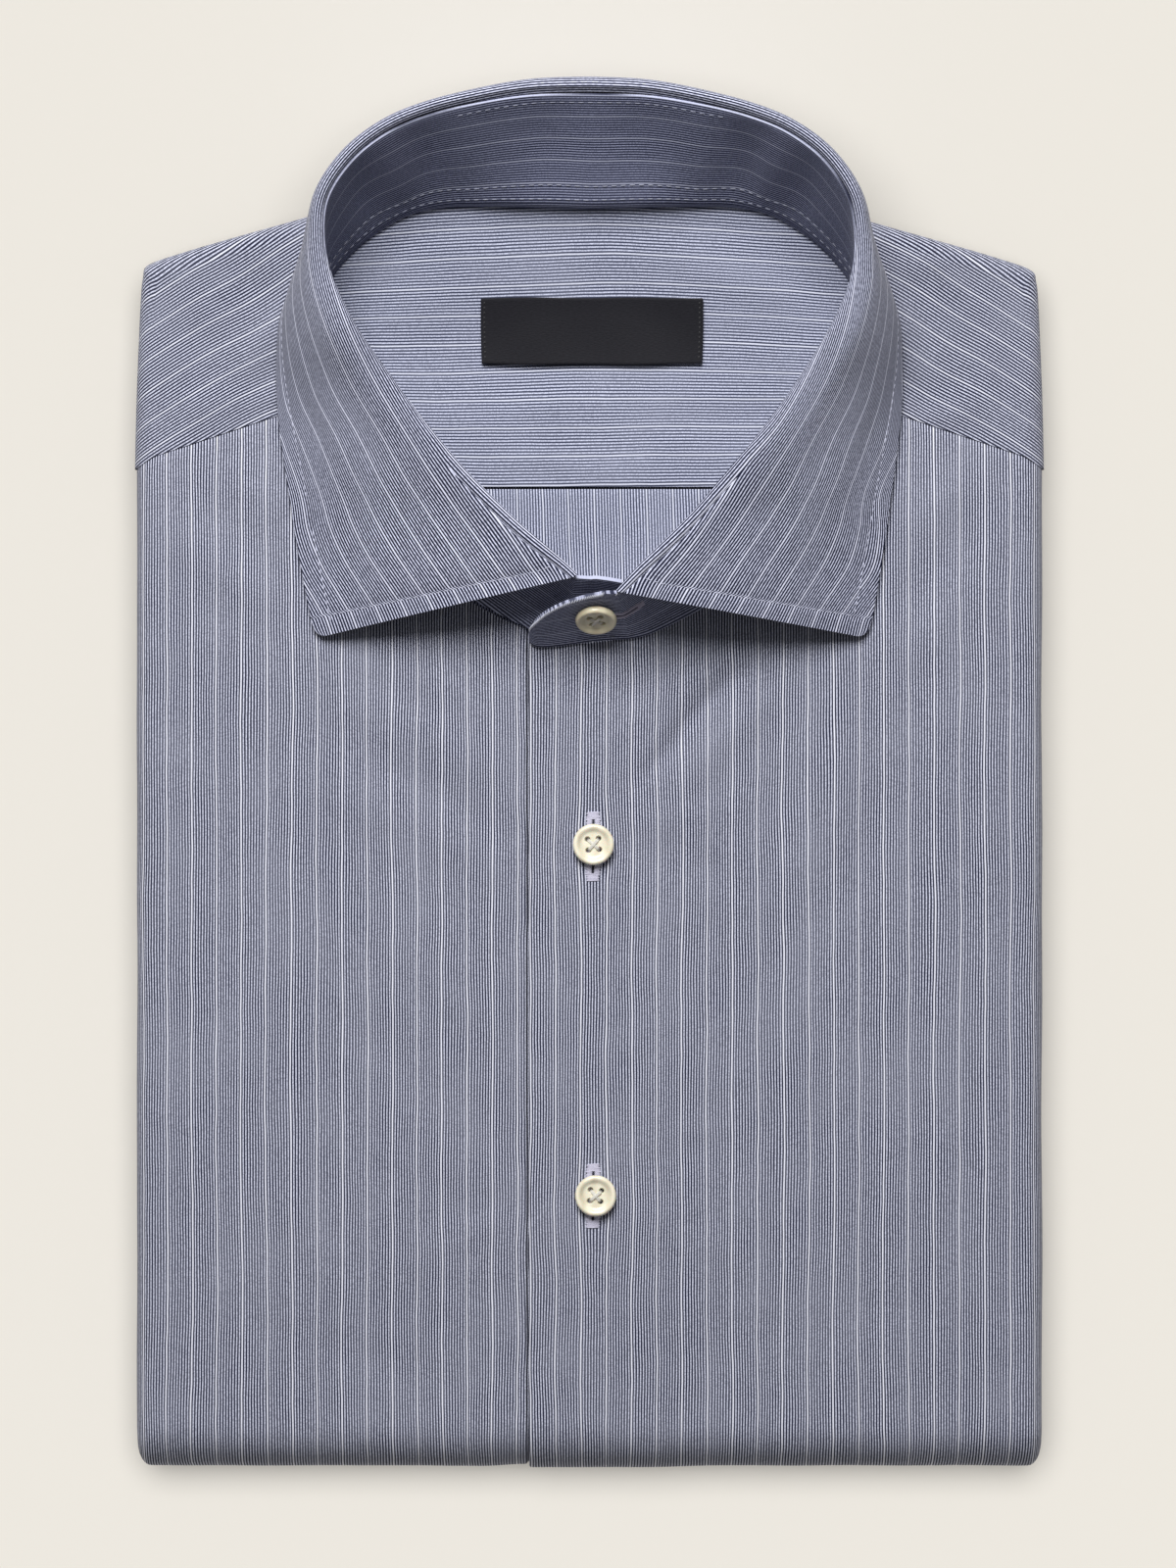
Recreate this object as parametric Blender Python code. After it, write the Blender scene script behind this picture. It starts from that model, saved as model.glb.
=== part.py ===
"""Folded dress shirt: the cut pieces as walls of cloth, sewn round the layers folded away inside.

+X is the wearer's left, +Y runs from the bottom fold to the collar, +Z is up from the table.
"""

from math import cos, hypot, pi, radians, sin, sqrt

import bmesh
import bpy
from mathutils import Matrix, Vector

# Driving sizes, in mm; MM brings them to metres when a mesh is made.
MM = 0.001
CLOTH = 1.2  # wall of one piece of cloth
GAP = 0.3  # left between two pieces that lie on each other
SEAM_GAP = 0.5  # left between two pieces edge to edge

# The package
HALF_WIDTH = 124.5
FOLD_HEIGHT = 25.0  # the front's face above the table, at the bottom fold
FOLD_Y = -179.0  # where the front starts to turn round the bottom fold
FOLD_RADIUS = FOLD_HEIGHT / 2
CROWN = 1.0  # rise of the middle of the front
SHOULDER_DROOP = 4.5
NECK_RISE = 2.6  # at the back of the neck
TAIL_HEM_Y = 128.0  # where the tail, turned up underneath, ends
SIDE_ROUND_TOP, SIDE_ROUND_FOLD, SIDE_ROUND_TAIL = 6.0, 3.6, 5.0
TUCK_LENGTH = 12.0  # how far a side goes in between the two stacks of layers
TUCK_TOP, TUCK_TAIL = 13.0, 11.5  # heights of the two tucked faces

# The closure
FRONT_ROWS = (0.0, 0.06, 0.14, 0.24, 0.36, 0.5, 0.66, 0.82, 0.92, 1.0)  # shares of the way down
TAIL_ROWS = (0.0, 0.08, 0.25, 0.5, 0.75, 1.0)  # shares of the way up underneath
FRONT_COLUMNS = (9.0, 18.3, 27.0, 40.0, 52.0, 63.0, 71.0, 75.0, 88.0, 104.0, 118.5)
SIDE_STEPS, TUCK_STEPS, FOLD_STEPS = 5, 2, 6
PLACKET_EDGE_X = -16.7
UNDERLAP_X = 17.0  # how far the other front goes on beneath the placket
PLACKET_RAISE, UNDERLAP_SINK = 0.9, 0.6
CLOSURE_HALF, CLOSURE_FADE = 30.0, 46.0  # to the side of it the layers lie plain again
NECK_FRONT_Y = 36.3  # the neck seam in the middle of the front

# The yoke
YOKE_SEAM_BACK_Y = 79.3
YOKE_SEAM_NECK = (75.0, 103.0)
YOKE_SEAM_SIDE = (119.0, 84.0)
INNER_LAYER = 1.75  # depth of the inside pieces' face below the outside pieces' face
NECK_DIP = 2.2  # how much deeper they lie inside the neck
NECK_CENTRE_Y, NECK_HALF_X, NECK_HALF_Y = 97.0, 72.0, 60.0

# Half of the collar, from the front to the middle of the back. A row is one station: the neck
# seam, the top of the stand, the stand's height, the leaf's lower edge, and how far that edge
# hangs below the shirt's face.
COLLAR = (
    # seam_x, seam_y, top_x, top_y, stand, edge_x, edge_y, hang
    (9.0, 37.5, 5.5, 51.5, 24.0, 75.8, 37.3, 0.0),
    (16.6, 39.6, 10.6, 57.6, 26.0, 77.6, 43.4, 0.0),
    (33.0, 48.0, 21.8, 68.8, 29.0, 79.8, 55.5, 0.0),
    (44.0, 56.5, 31.6, 78.3, 30.5, 81.6, 66.5, 0.0),
    (53.0, 65.5, 39.9, 86.2, 31.5, 83.2, 77.5, 0.0),
    (63.0, 78.0, 49.7, 97.5, 32.0, 85.0, 90.0, 0.0),
    (70.4, 91.5, 58.6, 109.8, 32.0, 86.3, 102.0, 0.0),
    (75.2, 106.5, 65.7, 122.2, 32.0, 86.5, 114.5, 0.0),
    (76.6, 121.0, 71.1, 136.5, 32.0, 85.2, 127.5, 0.0),
    (73.6, 134.5, 72.9, 148.5, 32.0, 82.2, 139.5, 0.0),
    (67.2, 143.4, 71.4, 158.0, 32.5, 78.4, 152.5, -0.6),
    (58.8, 150.2, 64.6, 168.0, 33.0, 71.0, 164.5, 8.0),
    (49.6, 155.0, 54.6, 175.6, 33.5, 58.8, 175.0, 18.0),
    (39.4, 157.0, 43.4, 180.4, 34.0, 45.8, 183.0, 21.0),
    (28.0, 157.2, 31.0, 183.6, 34.0, 32.4, 187.0, 22.0),
    (14.0, 156.9, 15.7, 186.2, 34.0, 16.2, 188.8, 22.5),
    (0.0, 156.6, 0.0, 186.7, 34.0, 0.0, 189.4, 22.5),
)
CLOSURE_SHIFT = 1.9  # the closed front of the collar sits this far towards +X
SHIFT_STATIONS = 7.0  # stations over which that shift fades out
STAND_CLEAR = 1.3  # the stand's seam above the face that it is sewn to
STAND_SAG = 0.13  # hollow across the front of the stand, as a share of its lean
LEAF_WALL = 1.5
FOLD_REACH, FOLD_RISE = 5.0, 2.6  # the collar's fold line, out from and above the stand's top
LEAF_BELLY = 2.2
LEAF_CLEAR = 0.8  # the leaf's edge above the face that it lies on

# The two ends of the stand beyond the leaf. Rows run on from the first station of the collar.
STAND_TAB = (
    # seam_x, seam_y, top_x, top_y, stand
    (5.5, 36.9, 3.5, 50.0, 22.5),
    (0.0, 36.3, -0.6, 49.2, 21.8),
    (-6.5, 35.6, -6.6, 47.9, 20.5),
    (-11.0, 35.2, -11.8, 45.6, 17.0),
    (-14.4, 35.3, -15.0, 42.7, 12.0),
    (-16.2, 36.6, -16.4, 40.2, 5.5),
)
STAND_UNDERLAP = (
    (-2.5, 38.5, 0.4, 51.6, 22.5),
    (3.5, 38.3, 4.4, 51.2, 21.5),
    (9.5, 38.4, 8.6, 50.4, 19.0),
)

# Half of the outside yoke: the collar station that it leaves, and the package's outline there.
YOKE = (
    # station, outline_x, outline_y
    (6.75, 125.2, 84.0),
    (7.1, 125.0, 96.0),
    (7.5, 124.7, 108.0),
    (7.9, 124.3, 119.0),
    (8.3, 123.8, 130.0),
    (8.7, 123.2, 135.5),
    (9.1, 121.4, 138.9),
    (9.5, 112.0, 142.4),
    (9.9, 98.5, 146.3),
    (10.4, 85.0, 150.0),
    (11.0, 72.0, 153.6),
    (11.8, 58.5, 157.2),
    (12.8, 44.0, 160.2),
    (14.0, 29.0, 162.0),
    (16.0, 0.0, 163.0),
)
YOKE_CORNER = 6  # the row past the package's corner

# The neck label and the buttons
LABEL_LEFT, LABEL_RIGHT, LABEL_FRONT, LABEL_BACK = -29.9, 31.3, 113.3, 131.4
LABEL_THICK = 1.0
BUTTON_WIDTH, BUTTON_THICK, BUTTON_RIM, BUTTON_SINK = 11.4, 2.6, 1.5, 0.7
HOLE_WIDTH, HOLE_PITCH = 1.3, 3.05
FRONT_BUTTONS = ((1.1, -19.7, 4.0), (1.7, -116.6, -5.0))  # x, y, turn in degrees
COLLAR_BUTTON_X, COLLAR_BUTTON_SHARE = 1.6, 0.47  # place on the stand, as a share of its height

# The layers folded away inside
INSIDE_COLUMNS = (0.0, 18.0, 27.0, 36.0, 47.0, 64.0, 90.0)
INSIDE_SHORT = 8.0  # the inside pieces end this far in from the package's side
YOKE_SHORT = 7.5  # the inside yoke this far from the shoulder fold
BACK_SHORT = 22.0  # and the back this far before the bottom fold
CORE_ROUND = 5.0
CORE_SLACK = 0.5
CORE_TAIL_SHORT = 2.0
CORE_FOLD_RADIUS = 8.8
CORE_FOLD_SHARE = 0.95  # its width at the bottom fold, as a share of its full width
CORE_ROWS = (0.0, 0.03, 0.08, 0.14, 0.2, 0.26, 0.33, 0.42, 0.58, 0.76, 0.92, 1.0)


def ease(value, start, end):
    """Go smoothly from 0 at start to 1 at end."""
    share = min(1.0, max(0.0, (value - start) / (end - start)))
    return share * share * (3 - 2 * share)


def mix(a, b, share):
    return a + (b - a) * share


def along(rows, place):
    """Read a table at any place between its rows, on a smooth curve through them."""
    last = len(rows) - 1
    i = min(last - 1, max(0, int(place)))
    f = place - i
    before, here, after, beyond = (rows[min(last, max(0, k))] for k in (i - 1, i, i + 1, i + 2))
    return tuple(
        (2 * b + (c - a) * f + (2 * a - 5 * b + 4 * c - d) * f**2 + (3 * b - a - 3 * c + d) * f**3)
        / 2
        for a, b, c, d in zip(before, here, after, beyond)
    )


def material(name, colour, roughness):
    made = bpy.data.materials.new(name)
    made.use_nodes = True
    shader = made.node_tree.nodes["Principled BSDF"]
    shader.inputs["Base Color"].default_value = (*colour, 1.0)
    shader.inputs["Roughness"].default_value = roughness
    return made


def add_object(name, points, faces, colour, roughness):
    mesh = bpy.data.meshes.new(name)
    mesh.from_pydata([Vector(p) * MM for p in points], [], faces)
    mesh.shade_smooth()
    mesh.set_sharp_from_angle(angle=radians(40))
    mesh.materials.append(material(name, colour, roughness))
    made = bpy.data.objects.new(name, mesh)
    bpy.context.collection.objects.link(made)
    return made


def add_cloth(name, grid, colour, thick=CLOTH, offset=-1.0, roughness=0.85, even=True):
    """Make a wall of cloth from rows of points on its outer face, which is on their left-hand side."""
    across = len(grid[0])
    faces = [
        (r * across + c, r * across + c + 1, (r + 1) * across + c + 1, (r + 1) * across + c)
        for r in range(len(grid) - 1)
        for c in range(across - 1)
    ]
    made = add_object(name, [p for row in grid for p in row], faces, colour, roughness)
    wall = made.modifiers.new("wall", "SOLIDIFY")
    wall.thickness = thick * MM
    wall.offset = offset
    wall.use_even_offset = even
    return made


def face_height(x, y):
    """Height of the shirt's outside face over the flat part of the package."""
    crown = CROWN * (1 - (x / HALF_WIDTH) ** 2) * ease(y, FOLD_Y, FOLD_Y + 60)
    droop = SHOULDER_DROOP * ease(y, 70, 140) * ease(abs(x), 55, 122)
    rise = NECK_RISE * ease(y, 112, 157) * (1 - ease(abs(x), 50, 80))
    return FOLD_HEIGHT + crown - droop + rise


def shoulder_y(x):
    """Y of the shoulder fold, which is the package's outline behind."""
    rows = YOKE[YOKE_CORNER:]
    for (_, x1, y1), (_, x0, y0) in zip(rows, rows[1:]):
        if x0 <= abs(x) <= x1:
            return mix(y0, y1, (abs(x) - x0) / (x1 - x0))
    return rows[0][2]


def inside_height(x, y):
    """Height of the inside pieces' face: below the fronts, and deeper inside the neck."""
    middle = hypot(x / NECK_HALF_X, (y - NECK_CENTRE_Y) / NECK_HALF_Y)
    dip = NECK_DIP * ease(1 - middle, 0.02, 0.5)
    closure = UNDERLAP_SINK * (1 - ease(abs(x), CLOSURE_HALF - 5, CLOSURE_FADE))
    return face_height(x, y) - INNER_LAYER - closure - dip


def neck_seam(x):
    """Y of the neck seam and of the front yoke seam, which bound the fronts above."""
    stations = [along(COLLAR, k / 4) for k in range(0, 28)]
    seam = [(0.0, NECK_FRONT_Y), *(s[:2] for s in stations), YOKE_SEAM_NECK, YOKE_SEAM_SIDE]
    if x >= YOKE_SEAM_SIDE[0]:
        return YOKE_SEAM_SIDE[1]
    for (x0, y0), (x1, y1) in zip(seam, seam[1:]):
        if x0 <= x <= x1:
            return mix(y0, y1, (x - x0) / (x1 - x0))
    return seam[-1][1]


def front_grid(side, first_columns, lay_top, lay_tail, top_margin):
    """Lay one front: down the face, round the bottom fold and back up underneath.

    Each row goes across, round the side and into the tuck. lay_top and lay_tail give how far the
    face at x is raised from the plain package, above and underneath.
    """
    flat = list(first_columns) + list(FRONT_COLUMNS)
    rows = [("top", s) for s in FRONT_ROWS]
    rows += [("fold", pi * k / FOLD_STEPS) for k in range(1, FOLD_STEPS)]
    rows += [("tail", s) for s in TAIL_ROWS]
    grid = []
    for kind, value in rows:
        top_share = {"top": 0.0, "tail": 1.0}.get(kind, value / pi)
        middle = sin(value) if kind == "fold" else 0.0
        round_x = mix(mix(SIDE_ROUND_TOP, SIDE_ROUND_TAIL, top_share), SIDE_ROUND_FOLD, middle)
        # a row's section: distance out from the placket line, and depth below the face
        section = [(x, 0.0) for x in flat]
        start = HALF_WIDTH - round_x
        section[-1] = (start, 0.0)
        turns = [pi * k / SIDE_STEPS for k in range(1, SIDE_STEPS + 1)]
        section += [(start + round_x * sin(a), (1 - cos(a)) / 2) for a in turns]
        if kind == "top":
            reach = mix(1.0, TUCK_LENGTH, 1 - ease(value, 0.8, 1.0))
        elif kind == "tail":
            reach = mix(1.0, TUCK_LENGTH, ease(value, 0.0, 0.15))
        else:
            reach = 1.0
        section += [(start - reach * k / TUCK_STEPS, 1.0) for k in range(1, TUCK_STEPS + 1)]
        row = []
        for x, depth in section:
            actual = side * x
            lay = mix(lay_top(actual), lay_tail(actual), top_share)
            if kind == "top":
                seam_y = YOKE_SEAM_SIDE[1] if depth else neck_seam(max(x, 0.0))
                y_start = seam_y - SEAM_GAP + top_margin(actual)
                y = mix(y_start, FOLD_Y, value)
                height = face_height(min(x, start), y)
                row.append((actual, y, mix(height + lay, TUCK_TOP, depth)))
            else:
                full = mix(FOLD_HEIGHT - TUCK_TOP, TUCK_TAIL, top_share)
                radius = FOLD_RADIUS + lay - depth * full
                if kind == "fold":
                    y, z = FOLD_Y - radius * sin(value), FOLD_RADIUS + radius * cos(value)
                else:
                    y, z = mix(FOLD_Y, TAIL_HEM_Y, value), FOLD_RADIUS - radius
                row.append((actual, y, z))
        grid.append(row if side < 0 else row[::-1])
    return grid


def build_fronts():
    colour = (0.30, 0.31, 0.38)

    def raise_placket(x):
        return PLACKET_RAISE * (1 - ease(x, UNDERLAP_X, CLOSURE_FADE - 10))

    def sink_underlap(x):
        return -UNDERLAP_SINK * (1 - ease(-x, 1 - PLACKET_EDGE_X, CLOSURE_FADE))

    def sink_tail(x):
        return -(CLOTH + GAP) * (1 - ease(-x, 1 - PLACKET_EDGE_X, CLOSURE_HALF))

    left_columns = (PLACKET_EDGE_X, -8.0, 0.0)
    add_cloth(
        "front_left",
        front_grid(1, left_columns, raise_placket, lambda x: 0.0, lambda x: 0.0),
        colour,
    )
    right_columns = (-UNDERLAP_X, -9.0, 0.0)
    add_cloth(
        "front_right",
        front_grid(
            -1,
            right_columns,
            sink_underlap,
            sink_tail,
            lambda x: 2.0 * (1 - ease(-x, 9, 24)),
        ),
        colour,
    )


def build_inside():
    """The back and the inside yoke, one grid each, cut at the seam across the back."""
    right_columns = [*INSIDE_COLUMNS, HALF_WIDTH - INSIDE_SHORT]
    columns = [-x for x in right_columns[:0:-1]] + right_columns

    def spread(bottom, top_of, steps):
        grid = []
        for k in range(steps + 1):
            row = []
            for x in columns:
                y = mix(top_of(x), bottom, k / steps)
                row.append((x, y, inside_height(x, y)))
            grid.append(row[::-1])
        return grid

    add_cloth(
        "yoke_inner",
        spread(YOKE_SEAM_BACK_Y + GAP / 2, lambda x: shoulder_y(x) - YOKE_SHORT, 8),
        (0.33, 0.34, 0.42),
    )
    add_cloth(
        "back",
        spread(FOLD_Y + BACK_SHORT, lambda x: YOKE_SEAM_BACK_Y - GAP / 2, 10),
        (0.33, 0.34, 0.42),
    )


def build_yoke_outer():
    """The shoulders: from the neck and front seams out, round the shoulder folds and under."""
    corner_x, corner_y = YOKE[YOKE_CORNER][1], YOKE[YOKE_CORNER][2]

    def inset(index, depth):
        """The outline point of a station, brought in by depth, keeping the corner square."""
        _, x, y = YOKE[index]
        seam_y = YOKE[0][2]
        if index < YOKE_CORNER:
            share = (y - seam_y) / (corner_y - seam_y)
            return x - depth, mix(seam_y, corner_y - depth, share)
        return x * (corner_x - depth) / corner_x, y - depth

    def station(index, side):
        place, out_x, out_y = YOKE[index]
        seam_x, seam_y = along(COLLAR, place)[:2] if index else YOKE_SEAM_NECK
        turn = min(SIDE_ROUND_TOP, (face_height(out_x, out_y) - TUCK_TOP) / 2 + 1)
        start_x, start_y = inset(index, turn)
        row = []
        for share in (0.03, 0.15, 0.4, 0.7, 1.0):
            x, y = mix(seam_x, start_x, share), mix(seam_y, start_y, share)
            row.append((side * x, y, face_height(x, y)))
        top = row[-1][2]
        for k in range(1, SIDE_STEPS + 1):
            a = pi * k / SIDE_STEPS
            x, y = mix(start_x, out_x, sin(a)), mix(start_y, out_y, sin(a))
            row.append((side * x, y, mix(top, TUCK_TOP, (1 - cos(a)) / 2)))
        for k in range(1, TUCK_STEPS + 1):
            x, y = inset(index, turn + TUCK_LENGTH * k / TUCK_STEPS)
            row.append((side * x, y, TUCK_TOP))
        return row

    grid = [station(i, 1) for i in range(len(YOKE))]
    grid += [station(i, -1) for i in range(len(YOKE) - 2, -1, -1)]
    add_cloth("yoke_outer", grid, (0.31, 0.32, 0.39), even=False)


def shift(place):
    """The collar's sideways shift at a station: full at the front, none behind."""
    return CLOSURE_SHIFT * (1 - ease(place, 0, SHIFT_STATIONS))


def collar_station(place, side):
    """Seam point, stand-top point and leaf-edge point of one side of the collar."""
    seam_x, seam_y, top_x, top_y, stand, edge_x, edge_y, hang = along(COLLAR, place)
    move = shift(place)
    raised = PLACKET_RAISE * (1 - ease(seam_x, UNDERLAP_X, CLOSURE_FADE - 10))
    base = face_height(seam_x, seam_y) + STAND_CLEAR + raised
    lean = hypot(top_x - seam_x, top_y - seam_y)
    seam = Vector((side * seam_x + move, seam_y, base))
    top = Vector((side * top_x + move, top_y, base + sqrt(stand**2 - lean**2)))
    rest = face_height(edge_x, edge_y) + LEAF_WALL + LEAF_CLEAR
    edge = Vector((side * edge_x + move * 0.3, edge_y, rest - hang))
    return seam, top, edge


def stand_row(seam, top, sag=0.0):
    """Points up the stand; sag, a share of its height, makes it hollow across."""
    rise = top - seam
    low = Vector((0, 0, -sag * hypot(rise.x, rise.y)))
    return [seam + rise * s + low * (4 * s * (1 - s)) for s in (0.0, 0.25, 0.5, 0.75, 1.0)]


def end_row(row, base):
    seam_x, seam_y, top_x, top_y, stand = row
    lean = hypot(top_x - seam_x, top_y - seam_y)
    seam = Vector((seam_x, seam_y, base))
    return stand_row(seam, Vector((top_x, top_y, base + sqrt(stand**2 - lean**2))), STAND_SAG)


COLLAR_PLACES = [k / 2 for k in range(0, 33)]


def build_stand():
    face = face_height(0, NECK_FRONT_Y)
    over = face + PLACKET_RAISE + STAND_CLEAR
    under = face - UNDERLAP_SINK + STAND_CLEAR
    grid = [end_row(row, under) for row in STAND_UNDERLAP[::-1]]
    for side, places in ((-1, COLLAR_PLACES), (1, COLLAR_PLACES[-2::-1])):
        for place in places:
            seam, top, _ = collar_station(place, side)
            grid.append(stand_row(seam, top, STAND_SAG * (1 - ease(place, 1, 4))))
    grid += [end_row(row, over) for row in STAND_TAB]
    add_cloth("collar_stand", grid, (0.22, 0.23, 0.30), offset=0.0)
    return grid


def leaf_row(place, side):
    """Points from the stand's top over the fold line and down to the leaf's edge."""
    seam, top, edge = collar_station(place, side)
    ahead = collar_station(max(0.0, place - 0.3), side)[1]
    behind = collar_station(min(16.0, place + 0.3), side)[1]
    run = behind - ahead
    if place >= 16.0:
        outward = Vector((0, 1, 0))
    else:
        outward = Vector((run.y, -run.x, 0)).normalized() * side
    up = (top - seam).normalized()
    start = top + up * (GAP + 0.25)
    crest = top + Vector((0, 0, FOLD_RISE)) + outward * (FOLD_REACH * 0.42)
    fold = top + outward * FOLD_REACH + Vector((0, 0, -0.6))
    reach = edge - fold
    side_out = Vector((reach.x, reach.y, 0))
    belly = LEAF_BELLY
    points = [start, top + up * 1.8 + outward * 0.5, crest, fold]
    for share in (0.3, 0.62):
        bulge = belly * 4 * share * (1 - share)
        lift = Vector((0, 0, bulge * side_out.length / reach.length))
        push = outward * (bulge * abs(reach.z) / reach.length)
        points.append(fold + reach * share + lift + push)
    points.append(edge)
    return points


def build_leaf():
    grid = [leaf_row(p, -1) for p in COLLAR_PLACES]
    grid += [leaf_row(p, 1) for p in COLLAR_PLACES[-2::-1]]
    add_cloth("collar_leaf", [row[::-1] for row in grid], (0.26, 0.27, 0.34), thick=LEAF_WALL)


def build_label():
    grid = []
    for k in range(3):
        y = mix(LABEL_BACK, LABEL_FRONT, k / 2)
        row = []
        for c in range(7):
            x = mix(LABEL_RIGHT, LABEL_LEFT, c / 6)
            row.append((x, y, inside_height(x, y) + GAP + 0.2 + LABEL_THICK))
        grid.append(row)
    add_cloth("neck_label", grid, (0.018, 0.018, 0.022), thick=LABEL_THICK, roughness=0.5)


def add_button(name, place, turn):
    """Turn a button from its profile, drill the four holes, and set it on its seat."""
    radius = BUTTON_WIDTH / 2
    half = BUTTON_THICK / 2
    profile = (
        (0.0, half - BUTTON_SINK),
        (radius - BUTTON_RIM - 0.6, half - BUTTON_SINK),
        (radius - BUTTON_RIM, half - 0.1),
        (radius - BUTTON_RIM / 2, half),
        (radius - 0.2, half - 0.5),
        (radius, 0.2),
        (radius - 0.5, -half + 0.3),
        (radius - 1.4, -half),
        (0.0, -half),
    )
    mesh = bmesh.new()
    points = [mesh.verts.new((x * MM, 0, z * MM)) for x, z in profile]
    edges = [mesh.edges.new(pair) for pair in zip(points, points[1:])]
    bmesh.ops.spin(
        mesh, geom=points + edges, axis=(0, 0, 1), cent=(0, 0, 0), angle=2 * pi, steps=20
    )
    bmesh.ops.remove_doubles(mesh, verts=mesh.verts, dist=1e-5)
    bmesh.ops.recalc_face_normals(mesh, faces=mesh.faces)
    button = add_object(name, [], [], (0.75, 0.68, 0.5), 0.25)
    mesh.to_mesh(button.data)
    mesh.free()
    button.data.shade_smooth()
    button.data.set_sharp_from_angle(angle=radians(40))
    button.matrix_world = place @ Matrix.Rotation(radians(turn), 4, "Z")
    drills = bmesh.new()
    for sx in (-1, 1):
        for sy in (-1, 1):
            at = Vector((sx, sy, 0)) * (HOLE_PITCH / 2 * MM)
            bmesh.ops.create_cone(
                drills,
                cap_ends=True,
                segments=8,
                radius1=HOLE_WIDTH / 2 * MM,
                radius2=HOLE_WIDTH / 2 * MM,
                depth=3 * BUTTON_THICK * MM,
                matrix=Matrix.Translation(at),
            )
    drill = add_object(name + "_drill", [], [], (0.5, 0.5, 0.5), 0.5)
    drills.to_mesh(drill.data)
    drills.free()
    drill.matrix_world = button.matrix_world
    drill.hide_render = True
    drill.display_type = "WIRE"
    holes = button.modifiers.new("holes", "BOOLEAN")
    holes.operation = "DIFFERENCE"
    holes.object = drill


def build_buttons(stand):
    lift = GAP + BUTTON_THICK / 2
    for number, (x, y, turn) in enumerate(FRONT_BUTTONS, 1):
        seat = Vector((x, y, face_height(x, y) + PLACKET_RAISE + lift)) * MM
        add_button(f"button_front_{number}", Matrix.Translation(seat), turn)
    # the collar button stands square to the tab, at its share of the stand's height
    tab = stand[-len(STAND_TAB) :]
    rows = [[Vector(p) for p in tab[1]], [Vector(p) for p in tab[0]]]
    share = (COLLAR_BUTTON_X - rows[0][0].x) / (rows[1][0].x - rows[0][0].x)
    line = [a.lerp(b, share) for a, b in zip(*rows)]
    step = COLLAR_BUTTON_SHARE * (len(line) - 1)
    seat = line[int(step)].lerp(line[int(step) + 1], step - int(step))
    up = (line[int(step) + 1] - line[int(step)]).normalized()
    normal = Vector((1, 0, 0)).cross(up).normalized()
    place = normal.to_track_quat("Z", "Y").to_matrix().to_4x4()
    seat += normal * (CLOTH / 2 + lift + 0.5)
    add_button("button_collar", Matrix.Translation(seat * MM) @ place, 12.0)


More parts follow.
